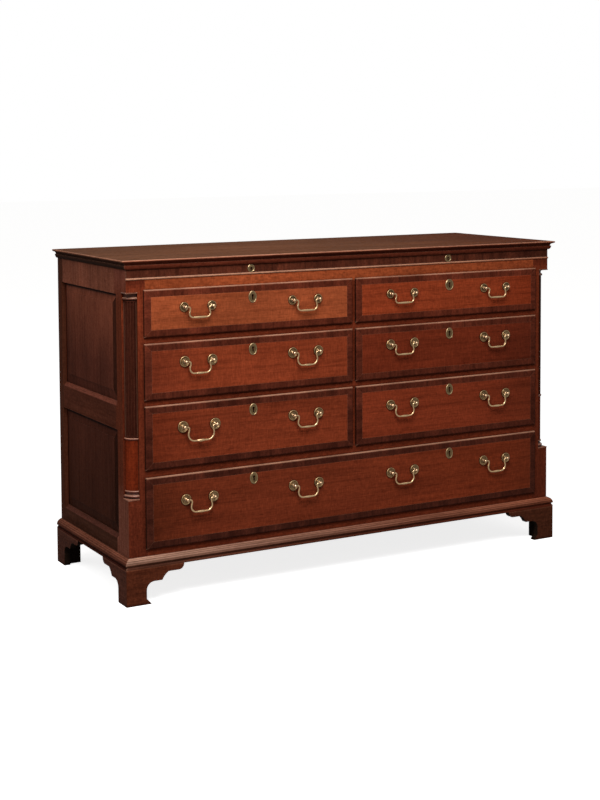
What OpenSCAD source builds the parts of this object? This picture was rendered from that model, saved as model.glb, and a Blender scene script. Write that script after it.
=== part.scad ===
// Oak mule chest with mahogany crossbanding: a hinged lid over a blanket compartment that is
// faced with four false drawer fronts, and below it two short drawers and one long drawer.
// Millimetres, +Z up, the front looks along -Y, the origin is under the middle of the chest.

/* [Carcass] */
// Width of the carcass over its corner posts
body_w = 1560; // [1300:5:1800]
// Depth of the carcass, front rails to back boards
body_d = 570; // [480:5:640]
// Thickness of the frame rails and of the side stiles
frame_t = 22; // [18:0.5:26]
// Visible face of the front stile, from the corner to the drawer lips
stile_face = 54.5; // [50:0.5:70]
// Visible width of the muntin between the left and right fronts
muntin_face = 12; // [8:0.5:24]
// Width of the front post on the side of the chest
side_stile_w = 89; // [80:1:120]
// Width of the rear post on the side of the chest
rear_stile_w = 43; // [38:1:60]
// Height of the top rail of the side frame
side_top_rail_h = 85; // [70:1:110]
// Height of the middle rail of the side frame
side_mid_rail_h = 84; // [60:1:100]
// Height of the bottom rail of the side frame
side_low_rail_h = 86; // [60:1:100]

/* [Rows] */
// Height of the upper false fronts, lip to lip
false_h_1 = 143; // [120:0.5:160]
// Height of the lower false fronts, lip to lip
false_h_2 = 170; // [150:0.5:190]
// Height of the short drawer fronts, lip to lip
drawer_h_3 = 192; // [170:0.5:210]
// Height of the long drawer front, lip to lip
drawer_h_4 = 216; // [190:0.5:230]
// Visible rail under the frieze bead
top_rail_face = 30; // [22:0.5:40]
// Visible rail between the two rows of false fronts
rail_face_12 = 18; // [12:0.5:24]
// Visible rail between the false fronts and the short drawers
rail_face_23 = 17; // [12:0.5:24]
// Visible rail between the short drawers and the long drawer
rail_face_34 = 22; // [14:0.5:28]
// Visible rail between the long drawer and the base moulding
bottom_rail_face = 20; // [12:0.5:28]
// Height of the crossbanded frieze
frieze_h = 34; // [30:0.5:45]
// Height of the small half-round bead under the frieze
bead_h = 6; // [4:0.5:8]

/* [Drawer fronts] */
// How far a lip covers the rail beside its opening
lip_over = 6; // [5:0.5:8]
// How far a lip stands proud of the carcass
lip_proud = 8; // [6:0.5:10]
// Width of the mahogany edging round the oak field
edging_w = 22; // [18:0.5:28]
// Radius of the ovolo worked on the edging
ovolo_r = 5.5; // [3:0.5:5.5]
// Thickness of a front behind the plane of the carcass
front_t = 19; // [16:0.5:21]

/* [Drawer boxes] */
// Length of a drawer from the carcass front to the end of its sides
drawer_len = 505; // [430:5:515]
// Thickness of the drawer sides
drawer_side_t = 11; // [9:0.5:14]
// Thickness of the drawer back
drawer_back_t = 10; // [8:0.5:13]
// Thickness of the drawer bottom
drawer_bottom_t = 7; // [5:0.5:9]
// Height of the drawer bottom over the edge of the sides
bottom_rise = 9; // [7:0.5:12]
// Clearance between a drawer box and its opening, each side
drawer_slip = 1; // [0.6:0.1:1.5]
// Usual distance between the tails of a dovetail joint
tail_pitch = 35; // [25:1:50]
// Thickness of a pin between two tails, at its narrow side
pin_w = 5; // [3:0.5:8]
// Slope of the tails, run for one of rise
tail_slope = 6; // [5:0.5:8]

/* [Lid] */
// Thickness of the lid board
lid_t = 20; // [18:0.5:26]
// Overhang of the lid past the carcass at the front and sides
lid_overhang = 18.5; // [16:0.5:24]
// How far the lid moulding hangs below the top of the carcass
lid_skirt = 8; // [6:0.5:10]
// Gap between the hanging moulding and the carcass
lid_gap = 1; // [0.6:0.1:1.5]

/* [Corner columns] */
// Side of the square notch that holds a quarter column
notch = 36; // [34:0.5:42]
// Radius of the column shaft
column_r = 29.5; // [26:0.5:31]
// Height of the square plinth under a column, above the base moulding
plinth_h = 172; // [140:1:200]
// Height of the plain lower part of the column, over the base rings
plain_h = 150; // [120:1:180]
// Height of the square block over the column, below the frieze bead
cap_block_h = 36; // [26:1:50]
// Flutes on a quarter column
flutes = 5; // [3:1:6]

/* [Base] */
// Height of the feet under the base moulding
foot_h = 110; // [90:1:130]
// Height of the base moulding
base_mould_h = 32; // [28:0.5:40]
// Projection of the base moulding and of the feet
base_p = 17; // [14:0.5:20]
// Length of a bracket foot from its corner to the tip of its wing
foot_len = 188; // [170:1:230]
// Width of the leg of a bracket foot at its neck
leg_w = 65; // [55:1:75]
// Thickness of the foot brackets
bracket_t = 20; // [16:0.5:24]

/* [Boards] */
// Thickness of the floor of the blanket compartment
floor_t = 15; // [12:0.5:18]
// Thickness of the back boards
back_t = 12; // [9:0.5:15]
// Boards in the back
back_count = 6; // [4:1:8]
// Thickness of the tongue round a side panel
panel_tongue = 6; // [5:0.5:7]
// Width of the bevel round the raised field of a side panel
panel_bevel = 30; // [20:1:40]

/* [Handles] */
// Distance between the two handles of one front
handle_spread = 370; // [320:5:420]
// Distance between the posts of a handle
boring = 92; // [84:0.5:100]
// Distance between the posts of the large handle on the left short drawer
boring_large = 107; // [98:0.5:112]
// Drop of the bails on the upper false fronts, from their posts to the middle of the grip
bail_drop_1 = 32; // [28:0.5:36]
// Drop of the other bails
bail_drop = 38; // [35:0.5:40]
// Drop of the large bail
bail_drop_large = 43; // [40:0.5:46]
// Radius of the bail's wire
wire_r = 2.5; // [2:0.1:2.8]
// Radius of the grip at its middle
grip_r = 3.8; // [3.2:0.1:4.2]
// Radius of the roses on the upper false fronts
rose_r_1 = 14.5; // [13:0.5:16]
// Radius of the other roses
rose_r = 16.5; // [15:0.5:18]
// Thickness of a rose at its rim
rose_t = 4; // [3.5:0.25:5]
// Distance of the bail's axis from the face of the drawer
axis_out = 14.5; // [13.5:0.5:18]
// Radius of the ball on a post
ball_r = 5.5; // [5:0.25:6.5]
// Height of the posts over the middle of the upper false fronts
handle_rise_1 = 15; // [0:1:25]
// Height of the posts over the middle of the lower false fronts
handle_rise_2 = 25; // [0:1:35]
// Height of the posts over the middle of the short drawers
handle_rise_3 = 26; // [0:1:40]
// Height of the posts over the middle of the long drawer
handle_rise_4 = 30; // [0:1:45]

/* [Locks and hinges] */
// Width of an escutcheon
escutcheon_w = 28; // [24:0.5:32]
// Height of an escutcheon
escutcheon_h = 37; // [32:0.5:42]
// Depth of a keyhole's middle below the top lip of its front
keyhole_drop = 38.5; // [36:0.5:60]
// Distance of the outer hinges from the middle of the lid
hinge_spread = 520; // [300:10:600]
// Length of a hinge
hinge_len = 64; // [50:1:80]
// Outer radius of a hinge knuckle
knuckle_r = 5; // [4.5:0.25:6]
// Radius of a hinge pin
hinge_pin_r = 2.5; // [2:0.1:3]

/* [Hidden] */
$fn = 64;

// Clearances
glue_gap = 0.1;      // glue line between separate pieces of one node
seat_gap = 0.3;      // a lip in front of the carcass, a drawer over its runner
run_clear = 0.08;    // bail ends and hinge pins in their bores
over_cut = 1;        // cutters run this far past what they cut

// Levels, from the floor up
base_top = foot_h + base_mould_h;
z4_lo = base_top + bottom_rail_face;
z4_hi = z4_lo + drawer_h_4;
z3_lo = z4_hi + rail_face_34;
z3_hi = z3_lo + drawer_h_3;
z2_lo = z3_hi + rail_face_23;
z2_hi = z2_lo + false_h_2;
z1_lo = z2_hi + rail_face_12;
z1_hi = z1_lo + false_h_1;
bead_z = z1_hi + top_rail_face;
frieze_z = bead_z + bead_h;
body_top = frieze_z + frieze_h;
floor_top = z2_lo + lip_over;
floor_low = floor_top - floor_t;
column_lo = base_top + plinth_h;
column_hi = bead_z - cap_block_h;

// Widths
half = body_w / 2;
lip_out = half - stile_face;                   // outer edge of the lips
lip_in = muntin_face / 2;                      // inner edge of the short lips
short_w = lip_out - lip_in;
short_x = (lip_out + lip_in) / 2;
long_w = 2 * lip_out;
post_face = stile_face + lip_over;             // front post, corner to opening
post_core = notch + frame_t;                   // depth of the solid part of the front post
muntin_w = muntin_face + 2 * lip_over;
rear_post_t = frame_t + back_t;                // rear post with its rebate for the boards

// The hinge knuckles stand this far behind the back
hinge_back = 0.5;

// The large handle has a longer post and a larger ball
axis_out_large = axis_out + 1.5;
ball_r_large = ball_r + 0.5;
rose_r_large = rose_r + 1;

// Depths: the chest is centred on the reach of its handles and its hinges
front_reach = seat_gap + lip_proud + axis_out_large + ball_r_large;
back_reach = 2 * knuckle_r + hinge_back;
front_y = (front_reach - back_reach - body_d) / 2;
back_y = front_y + body_d;
face_y = front_y - seat_gap - lip_proud;       // face of every drawer front

// Hardware
pin_r = 1.7;                                   // end of a bail inside its post
shank_r = 3;                                   // post inside the rose
bolt_r = 2.5;                                  // post inside the front
bolt_clear = 0.1;
nut_r = 6;
nut_t = 4;
escutcheon_t = 1.6;
drawer_lock = [64, 12, 48];                    // plate width, depth and plate height
chest_lock = [92, 14, 62];
lock_plate_t = 2;
case_in = 6;                                   // a lock's plate past its case, at each end
chest_key_z = frieze_z + 8;
leaf_w = 22;
leaf_t = 2.5;
hinge_z = body_top;
hinge_y = back_y + knuckle_r + hinge_back;
band_t = 3;                                    // thickness of the frieze banding

HINGES = [-hinge_spread, 0, hinge_spread];
LEVELS = [[z1_lo, z1_hi], [z2_lo, z2_hi], [z3_lo, z3_hi], [z4_lo, z4_hi]];
RISES = [handle_rise_1, handle_rise_2, handle_rise_3, handle_rise_4];
HANDLE_X = [
    -short_x - handle_spread / 2, -short_x + handle_spread / 2,
    short_x - handle_spread / 2, short_x + handle_spread / 2
];

function handle_z(row) = (LEVELS[row][0] + LEVELS[row][1]) / 2 + RISES[row];
function is_large(row, i) = row == 2 && i == 0;
function key_z(row) = LEVELS[row][1] - keyhole_drop;

OAK = "peru";
MAHOGANY = "saddlebrown";
SIDE_OAK = "sienna";
DEAL = "burlywood";
BRASS = "darkgoldenrod";
IRON = "dimgray";

// Box between two corners
module block(lo, hi) {
    translate(lo) cube(hi - lo);
}

// A section drawn as (depth from the front, height), run from x0 to x1
module run_x(x0, x1) {
    translate([x0, 0, 0]) rotate([90, 0, 90]) linear_extrude(x1 - x0) children();
}

// A section drawn as (x, height), run from y0 to y1
module run_y(y0, y1) {
    translate([0, y1, 0]) rotate([90, 0, 0]) linear_extrude(y1 - y0) children();
}

// The same piece on the left and on the right side
module both_sides() {
    children();
    mirror([1, 0, 0]) children();
}

// Corner posts

// Plan of the left front post: a solid core behind the column and a wing along the side
module front_post_plan() {
    translate([-half, front_y]) {
        square([post_face, post_core]);
        square([frame_t, side_stile_w]);
    }
}

module front_post() {
    difference() {
        translate([0, 0, foot_h]) linear_extrude(body_top - foot_h) front_post_plan();
        block([-half - over_cut, front_y - over_cut, column_lo],
              [-half + notch, front_y + notch, column_hi]);
        block([-half - over_cut, front_y - over_cut, frieze_z],
              [-half + post_face + over_cut, front_y + band_t, body_top + over_cut]);
        side_panel_space();
        stile_bevels();
    }
}

// Bevels of the stiles along both panels, as on the rails, mitred with the rail below
module stile_bevels() {
    k = rail_bevel_h / rail_bevel_d;
    e = over_cut;
    d = rail_bevel_d;
    for (p = PANELS) intersection() {
        translate([-half, 0, 0]) linear_extrude(p[1]) {
            polygon([[-e, side_y1 + k * (d + e)], [d + e / k, side_y1 - e], [-e, side_y1 - e]]);
            polygon([[-e, side_y0 - k * (d + e)], [d + e / k, side_y0 + e], [-e, side_y0 + e]]);
        }
        run_y(front_y, back_y) translate([-half, 0]) polygon([
            [-e, p[0] - k * (d + e)], [d + e / k, p[0] + e],
            [d + e / k, p[1] + e], [-e, p[1] + e]
        ]);
    }
}

module rear_post() {
    difference() {
        block([-half, back_y - rear_stile_w, foot_h],
              [-half + rear_post_t, back_y, body_top]);
        block([-half + frame_t, back_y - back_t, foot_h - over_cut],
              [-half + rear_post_t + over_cut, back_y + over_cut, body_top + over_cut]);
        side_panel_space();
        stile_bevels();
    }
}

module corner_posts() {
    color(SIDE_OAK) both_sides() {
        front_post();
        rear_post();
    }
}

// Side frames

rail_bevel_h = 12;
rail_bevel_d = 9;
groove_d = 9;
panel_enter = 8;
panel_back = frame_t - 5;                      // inner face of the panel, from the outside
panel_low = panel_back - panel_tongue;         // outer face of the tongue
panel_fall = 4;                                // slope of the bevel
panel_step = 1.5;                              // step between the bevel and the field
side_y0 = front_y + side_stile_w;
side_y1 = back_y - rear_stile_w;
low_rail_top = foot_h + side_low_rail_h;
mid_rail_low = floor_low - side_mid_rail_h;
top_rail_low = body_top - side_top_rail_h;
PANELS = [[low_rail_top, mid_rail_low], [floor_low, top_rail_low]];

// Grooves round both panels of the left side
module side_panel_space() {
    for (p = PANELS)
        block([-half + panel_low - glue_gap, side_y0 - groove_d, p[0] - groove_d],
              [-half + panel_back + glue_gap, side_y1 + groove_d, p[1] + groove_d]);
}

module side_rail(low, top, bevel) {
    difference() {
        run_y(side_y0, side_y1) translate([-half, 0]) polygon([
            [0, low], [0, top - (bevel ? rail_bevel_h : 0)],
            [bevel ? rail_bevel_d : 0, top], [frame_t, top], [frame_t, low]
        ]);
        side_panel_space();
    }
}

module side_rails() {
    color(MAHOGANY) both_sides() {
        side_rail(foot_h, low_rail_top, true);
        side_rail(mid_rail_low, floor_low, true);
        side_rail(top_rail_low, body_top, false);
    }
}

// Section across a panel between two sight edges a and b: tongue, bevel, step and field
module panel_section(a, b) {
    polygon([
        [a - panel_enter, panel_back], [a - panel_enter, panel_low], [a, panel_low],
        [a + panel_bevel, panel_low - panel_fall],
        [a + panel_bevel, panel_low - panel_fall - panel_step],
        [b - panel_bevel, panel_low - panel_fall - panel_step],
        [b - panel_bevel, panel_low - panel_fall],
        [b, panel_low], [b + panel_enter, panel_low], [b + panel_enter, panel_back]
    ]);
}

module side_panel(low, top) {
    intersection() {
        translate([-half, 0, low - panel_enter]) linear_extrude(top - low + 2 * panel_enter)
            mirror([1, -1]) panel_section(side_y0, side_y1);
        run_y(side_y0 - panel_enter, side_y1 + panel_enter)
            translate([-half, 0]) mirror([1, -1]) panel_section(low, top);
    }
}

module side_panels() {
    color(SIDE_OAK) both_sides() for (p = PANELS) side_panel(p[0], p[1]);
}

// Quarter columns

base_ring_r = 4;
neck_ring_r = 3;
abacus_t = 3.5;                                // square plates at both ends of a column
abacus_proud = 0.8;
cap_h = 22;                                    // neck, ring and cove under the upper plate
shaft_lo = column_lo + 29;                     // over the base rings
ring_z = shaft_lo + plain_h;
shaft_hi = column_hi - abacus_t - cap_h;
flute_r = 3.4;
flute_out = 0.6;                               // a flute's axis outside the shaft's surface
flute_end = 6;                                 // plain shaft over and under the flutes

// Half section of the whole column: base rings, plain shaft, ring, shaft and capital
module column_section() {
    rim = notch - 0.5;
    square_top = column_hi - abacus_t;
    translate([0, column_lo]) square([rim - base_ring_r, 15]);
    translate([rim - base_ring_r, column_lo + 6 + base_ring_r]) circle(base_ring_r);
    translate([0, column_lo]) square([column_r - 1, square_top - column_lo]);
    translate([0, column_lo + 20]) square([column_r, 9]);
    translate([column_r, column_lo + 24]) circle(neck_ring_r);
    translate([0, shaft_lo]) square([column_r, shaft_hi - shaft_lo]);
    translate([column_r, ring_z + neck_ring_r]) circle(neck_ring_r);
    translate([column_r, shaft_hi + 6]) circle(base_ring_r);
    difference() {
        translate([0, square_top - 7]) square([rim - 1, 7]);
        translate([rim - 1, square_top - 7]) circle(6);
    }
}

module column_flutes() {
    f_lo = ring_z + 2 * neck_ring_r + flute_end;
    f_hi = shaft_hi - flute_end;
    for (i = [0:flutes - 1])
        rotate([0, 0, (i + 0.5) * 90 / flutes])
            translate([column_r + flute_out, 0, f_lo]) {
                cylinder(h = f_hi - f_lo, r = flute_r);
                sphere(flute_r);
                translate([0, 0, f_hi - f_lo]) sphere(flute_r);
            }
}

module corner_column() {
    translate([-half + notch, front_y + notch, 0]) rotate([0, 0, 180]) {
        difference() {
            rotate_extrude(angle = 90) column_section();
            column_flutes();
        }
        for (z = [column_lo, column_hi - abacus_t])
            translate([0, 0, z]) cube([notch + abacus_proud, notch + abacus_proud, abacus_t]);
    }
}

module corner_columns() {
    color(MAHOGANY) both_sides() corner_column();
}

// Front rails and muntins

opening_out = half - post_face;                // side of an opening, at the post
RAILS = [
    [z1_hi - lip_over, body_top], [z2_hi - lip_over, z1_lo + lip_over],
    [z3_hi - lip_over, z2_lo + lip_over], [z4_hi - lip_over, z3_lo + lip_over],
    [foot_h, z4_lo + lip_over]
];

// A keyhole, round above and narrower below
module keyhole() {
    translate([0, 4]) circle(3.2);
    translate([-2, -9]) square([4, 13]);
}

// A keyhole cut from in front of the chest to the depth y
module keyhole_at(x, z, y) {
    run_y(face_y - over_cut, y) translate([x, z]) keyhole();
}

module front_rails() {
    color(OAK) difference() {
        for (r = RAILS)
            block([-opening_out, front_y, r[0]], [opening_out, front_y + frame_t, r[1]]);
        block([-half, front_y - over_cut, frieze_z],
              [half, front_y + band_t, body_top + over_cut]);
        for (x = [-short_x, short_x]) {
            keyhole_at(x, chest_key_z, lock_y + over_cut);
            lock_body(chest_lock, x, lock_y, body_top, glue_gap);
        }
    }
}

module front_muntins() {
    color(OAK) for (i = [0:2])
        block([-muntin_w / 2, front_y, RAILS[i + 1][1]],
              [muntin_w / 2, front_y + frame_t, RAILS[i][0]]);
}

// Crossbanded frieze with its half-round bead

module frieze() {
    color(MAHOGANY) {
        difference() {
            block([-half, front_y, frieze_z + glue_gap], [half, front_y + band_t, body_top]);
            for (x = [-short_x, short_x]) keyhole_at(x, chest_key_z, lock_y);
        }
        intersection() {
            run_x(-half - 1, half + 1) translate([front_y, bead_z + bead_h / 2])
                circle(bead_h / 2);
            block([-half - 1, front_y - bead_h, bead_z], [half + 1, front_y, frieze_z]);
        }
    }
}

// Lipped fronts

// Section of the lipped slab between -w/2 and w/2, its back at 0 and its face at -lip_proud
module lip_section(w) {
    edge = w / 2 - ovolo_r;
    intersection() {
        union() {
            translate([-w / 2, ovolo_r - lip_proud]) square([w, lip_proud - ovolo_r]);
            translate([-edge, -lip_proud]) square([2 * edge, lip_proud]);
            for (s = [-1, 1]) translate([s * edge, ovolo_r - lip_proud]) circle(ovolo_r);
        }
        translate([-w / 2, -lip_proud]) square([w, lip_proud]);
    }
}

// Slab with an ovolo on all four edges, mitred where two sections cross
module lip_slab(w, h) {
    intersection() {
        linear_extrude(h) lip_section(w);
        translate([-w / 2, 0, h / 2]) rotate([90, 0, 90]) linear_extrude(w)
            mirror([1, -1]) lip_section(h);
    }
}

// Mahogany edging of a front: four mitred lengths round the oak field
module edging(w, h) {
    e = edging_w;
    g = glue_gap / 2;
    sides = [
        [[-w / 2 + g, -2 * g], [w / 2 - g, -2 * g], [w / 2 - e - g, e], [e - w / 2 + g, e]],
        [[-w / 2 + g, h + 2 * g], [w / 2 - g, h + 2 * g], [w / 2 - e - g, h - e],
         [e - w / 2 + g, h - e]],
        [[-w / 2 - g, g], [e - w / 2, e + g], [e - w / 2, h - e - g], [-w / 2 - g, h - g]],
        [[w / 2 + g, g], [w / 2 - e, e + g], [w / 2 - e, h - e - g], [w / 2 + g, h - g]]
    ];
    for (s = sides) intersection() {
        lip_slab(w, h);
        translate([0, over_cut, 0]) rotate([90, 0, 0])
            linear_extrude(lip_proud + 2 * over_cut) polygon(s);
    }
}

// Oak board of a front: the raised field and the core that fills the opening
module front_board(w, h, slip, lap) {
    f = edging_w + glue_gap;
    c = lip_over + slip;
    difference() {
        union() {
            block([-w / 2 + f, -lip_proud, f], [w / 2 - f, seat_gap, h - f]);
            block([-w / 2 + c, glue_gap, lip_over + seat_gap],
                  [w / 2 - c, seat_gap + front_t, h - lip_over - slip]);
        }
        if (lap) drawer_laps(w, h);
    }
}

// Sockets for the tails of the drawer sides and the groove for the bottom, cut in a drawer front
module drawer_laps(w, h) {
    c = lip_over + drawer_slip;
    for (s = [0, 1]) mirror([s, 0, 0])
        run_x(-w / 2 + c - over_cut, -w / 2 + c + drawer_side_t + glue_gap)
            tails(side_lap_y + glue_gap, 1, -glue_gap, lap + over_cut,
                  side_low, side_top(h), glue_gap);
    block([-w / 2 + c + drawer_side_t - bottom_enter - glue_gap, seat_gap + front_t - bottom_enter,
           bottom_z - glue_gap],
          [w / 2 - c - drawer_side_t + bottom_enter + glue_gap, seat_gap + front_t + over_cut,
           bottom_z + drawer_bottom_t + glue_gap]);
}

// Holes in a front for the bolts of its handles and for its keys. The keyholes of a false front
// are blind.
module front_holes(row, xs, key_xs, blind) {
    for (x = xs) for (s = [-1, 1]) for (i = [0:3])
        if (HANDLE_X[i] == x)
            translate([x + s * (is_large(row, i) ? boring_large : boring) / 2,
                       face_y - over_cut, handle_z(row)])
                rotate([-90, 0, 0])
                    cylinder(h = lip_proud + front_t + 3 * over_cut, r = bolt_r + bolt_clear);
    for (x = key_xs) {
        keyhole_at(x, key_z(row), blind ? front_y : front_y + front_t + over_cut);
        if (!blind) lock_body(drawer_lock, x, front_y + front_t, drawer_lock_top(row), glue_gap);
    }
}

// A whole front in its place
module lipped_front(row, x, w, xs, key_xs, slip, lap) {
    h = LEVELS[row][1] - LEVELS[row][0];
    difference() {
        translate([x, front_y - seat_gap, LEVELS[row][0]]) {
            color(MAHOGANY) edging(w, h);
            color(OAK) front_board(w, h, slip, lap);
        }
        front_holes(row, xs, key_xs, !lap);
    }
}

module false_fronts() {
    for (row = [0, 1]) {
        lipped_front(row, -short_x, short_w, [HANDLE_X[0], HANDLE_X[1]], [-short_x], seat_gap, false);
        lipped_front(row, short_x, short_w, [HANDLE_X[2], HANDLE_X[3]], [short_x], seat_gap, false);
    }
}

// Rear rails and back boards

rear_rail_t = 24;
rear_rail_h = 56;
runner_t = 18;
runner3_z = z3_lo + lip_over;                  // top of the runners of the short drawers
runner4_z = z4_lo + lip_over;                  // top of the runners of the long drawer
rear_in = half - rear_post_t;                  // inner face of the rear posts
board_lap = 14;                                // back boards over the rear rails
board_gap = 0.8;

module rear_rails() {
    color(DEAL) difference() {
        union() {
            block([-rear_in, back_y - rear_rail_t, body_top - rear_rail_h],
                  [rear_in, back_y, body_top]);
            block([-rear_in, back_y - rear_rail_t, foot_h],
                  [rear_in, back_y, foot_h + rear_rail_h]);
            block([-rear_in, back_y - rear_rail_t - back_t, runner3_z - 2 * runner_t],
                  [rear_in, back_y - back_t, runner3_z]);
        }
        block([-half, back_y - back_t, foot_h + rear_rail_h - board_lap],
              [half, back_y + over_cut, body_top - rear_rail_h + board_lap]);
        for (x = HINGES) hinge_leaf_space(x, -1);
    }
}

module back_boards() {
    span = 2 * (half - frame_t);
    pitch = span / back_count;
    color(DEAL) for (i = [0:back_count - 1])
        block([-span / 2 + i * pitch + board_gap / 2, back_y - back_t,
               foot_h + rear_rail_h - board_lap],
              [-span / 2 + (i + 1) * pitch - board_gap / 2, back_y,
               body_top - rear_rail_h + board_lap]);
}

// Floor of the blanket compartment, in three long boards notched round the posts

module chest_floor() {
    y0 = front_y + frame_t;
    y1 = back_y - back_t;
    pitch = (y1 - y0) / 3;
    color(DEAL) difference() {
        for (i = [0:2])
            block([-half + frame_t, y0 + i * pitch + (i > 0 ? board_gap : 0), floor_low],
                  [half - frame_t, y0 + (i + 1) * pitch, floor_top]);
        both_sides() {
            block([-half, front_y, 0],
                  [-half + post_face + seat_gap, front_y + post_core + seat_gap, body_top]);
            block([-half, front_y, 0],
                  [-half + frame_t + seat_gap, front_y + side_stile_w + seat_gap, body_top]);
            block([-half, back_y - rear_stile_w - seat_gap, 0],
                  [-half + rear_post_t + seat_gap, back_y, body_top]);
        }
    }
}

// Runners under the drawers, and bearers under the compartment floor

runner_w = 36;                                 // support under a drawer side
guide_h = 20;
bearer = [18, rail_face_23 + 2 * lip_over - floor_t - 1];

// Left runner of a drawer: a shelf with a guide strip beside the drawer
module side_runner(z) {
    run_y(front_y + post_core, back_y - rear_stile_w) translate([-half, 0]) polygon([
        [frame_t, z - runner_t], [frame_t, z + guide_h], [post_face, z + guide_h],
        [post_face, z], [post_face + runner_w, z], [post_face + runner_w, z - runner_t]
    ]);
}

// Middle runner, with a guide between the two short drawers
module middle_runner(z) {
    w = muntin_w / 2;
    run_y(front_y + frame_t, back_y - back_t - rear_rail_t) polygon([
        [-w - runner_w, z - runner_t], [-w - runner_w, z], [-w, z], [-w, z + guide_h],
        [w, z + guide_h], [w, z], [w + runner_w, z], [w + runner_w, z - runner_t]
    ]);
}

module runners_and_bearers() {
    z1 = floor_low;
    color(DEAL) {
        both_sides() {
            side_runner(runner3_z);
            side_runner(runner4_z);
            block([-half + frame_t, front_y + post_core, z1 - bearer[1]],
                  [-half + frame_t + bearer[0], back_y - rear_stile_w, z1]);
        }
        middle_runner(runner3_z);
        block([-opening_out + glue_gap, front_y + frame_t, z1 - bearer[1]],
              [opening_out - glue_gap, front_y + frame_t + bearer[0], z1]);
        block([-rear_in + glue_gap, back_y - back_t - bearer[0], z1 - bearer[1]],
              [rear_in - glue_gap, back_y - back_t, z1]);
    }
}

// Base moulding

mould_fillet = 6;                              // flat bead at the foot of the moulding
mould_quirk = 6;                               // hollow over that bead
quirk_d = 4;

// Section of the base moulding as (projection, height over the feet)
module base_section() {
    low = mould_fillet + mould_quirk;
    rise = base_mould_h - low;
    difference() {
        translate([0, low]) intersection() {
            translate([base_p - rise, 0]) circle(rise);
            square([base_p, rise]);
        }
        translate([base_p + 1, low]) circle(2);
    }
    square([base_p - quirk_d, low]);
    square([base_p - 1, mould_fillet - 3]);
    translate([base_p - 4, 3]) circle(3);
}

// Keeps the front length of a mitred run, then the left side length
module front_wedge(reach, low, top) {
    g = glue_gap / 2;
    translate([0, 0, low]) linear_extrude(top - low) polygon([
        [-half - reach + g, front_y - reach], [half + reach - g, front_y - reach],
        [half - reach - g, front_y + reach], [-half + reach + g, front_y + reach]
    ]);
}

module side_wedge(reach, low, top) {
    g = glue_gap / 2;
    translate([0, 0, low]) linear_extrude(top - low) polygon([
        [-half - reach, front_y - reach + g], [-half + reach, front_y + reach + g],
        [-half + reach, back_y], [-half - reach, back_y]
    ]);
}

module base_moulding() {
    reach = base_p + 10;
    color(SIDE_OAK) {
        intersection() {
            run_x(-half - base_p, half + base_p)
                translate([front_y, foot_h]) mirror([1, 0]) base_section();
            front_wedge(reach, 0, base_top + over_cut);
        }
        both_sides() intersection() {
            run_y(front_y - base_p, back_y)
                translate([-half, foot_h]) mirror([1, 0]) base_section();
            side_wedge(reach, 0, base_top + over_cut);
        }
    }
}

// Bracket feet

foot_face = base_p - 1;                        // faces of the feet, from the carcass
shelf_drop = 18.5;                             // first step of the outline under the moulding
shelf_end = 51;                                // that step, short of the wing's tip
tread_drop = 42;                               // second step of the outline
tread_in = 72;                                 // where the second step begins
scoop_r = 25;
toe_w = 15;
toe_h = 17;
back_leg = leg_w + 7;                          // back bracket of a rear foot

// Outline of a bracket foot as (distance from the corner, height): a wing with a rounded tip,
// a hollow, a second step and a scoop into the leg, which has a small toe on the front only
module foot_outline(toe) {
    z_shelf = foot_h - shelf_drop;
    z_tread = foot_h - tread_drop;
    x_shelf = foot_len - shelf_end;
    x_tread = foot_len - tread_in;
    tip = shelf_drop - 1;
    rise = z_shelf - z_tread;
    run = x_shelf - x_tread;
    hollow_r = 52;
    chord = sqrt(rise * rise + run * run);
    sag = sqrt(hollow_r * hollow_r - chord * chord / 4);
    translate([0, z_shelf]) square([foot_len - tip, shelf_drop]);
    translate([foot_len - tip, foot_h - 1]) intersection() {
        circle(tip);
        translate([-over_cut, -tip]) square([tip + over_cut, tip]);
    }
    translate([foot_len - tip - over_cut, foot_h - 1]) square([tip + over_cut, 1]);
    difference() {
        translate([0, z_tread]) square([x_shelf, rise]);
        translate([(x_shelf + x_tread) / 2 + sag * rise / chord,
                   (z_shelf + z_tread) / 2 - sag * run / chord]) circle(hollow_r);
    }
    difference() {
        translate([0, z_tread - scoop_r]) square([leg_w + scoop_r, scoop_r]);
        translate([leg_w + scoop_r, z_tread - scoop_r]) circle(scoop_r);
    }
    square([leg_w, z_tread]);
    if (toe) polygon([[leg_w, toe_h], [leg_w + toe_w, 2], [leg_w + toe_w - 1, 0], [leg_w, 0]]);
}

block_w = 38;
block_short = 2;                               // glue blocks stop short of the floor

module front_foot() {
    reach = foot_face + bracket_t;
    corner = [-half - foot_face, front_y - foot_face];
    inner = bracket_t + glue_gap;
    intersection() {
        run_y(corner[1], corner[1] + bracket_t) translate([corner[0], 0]) foot_outline(true);
        front_wedge(reach, -over_cut, foot_h + over_cut);
    }
    intersection() {
        run_x(corner[0], corner[0] + bracket_t) translate([corner[1], 0]) foot_outline(false);
        side_wedge(reach, -over_cut, foot_h + over_cut);
    }
    block([corner[0] + inner, corner[1] + inner, block_short],
          [corner[0] + inner + block_w, corner[1] + inner + block_w, foot_h]);
}

module rear_foot() {
    corner = -half - foot_face;
    inner = bracket_t + glue_gap;
    run_x(corner, corner + bracket_t) translate([back_y, 0]) mirror([1, 0]) foot_outline(false);
    block([corner + inner, back_y - bracket_t, 0], [corner + back_leg, back_y, foot_h]);
    block([corner + inner, back_y - inner - block_w, block_short],
          [corner + inner + block_w, back_y - inner, foot_h]);
}

module front_feet() {
    color(SIDE_OAK) both_sides() front_foot();
}

module rear_feet() {
    color(SIDE_OAK) both_sides() rear_foot();
}

// Lid

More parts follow.
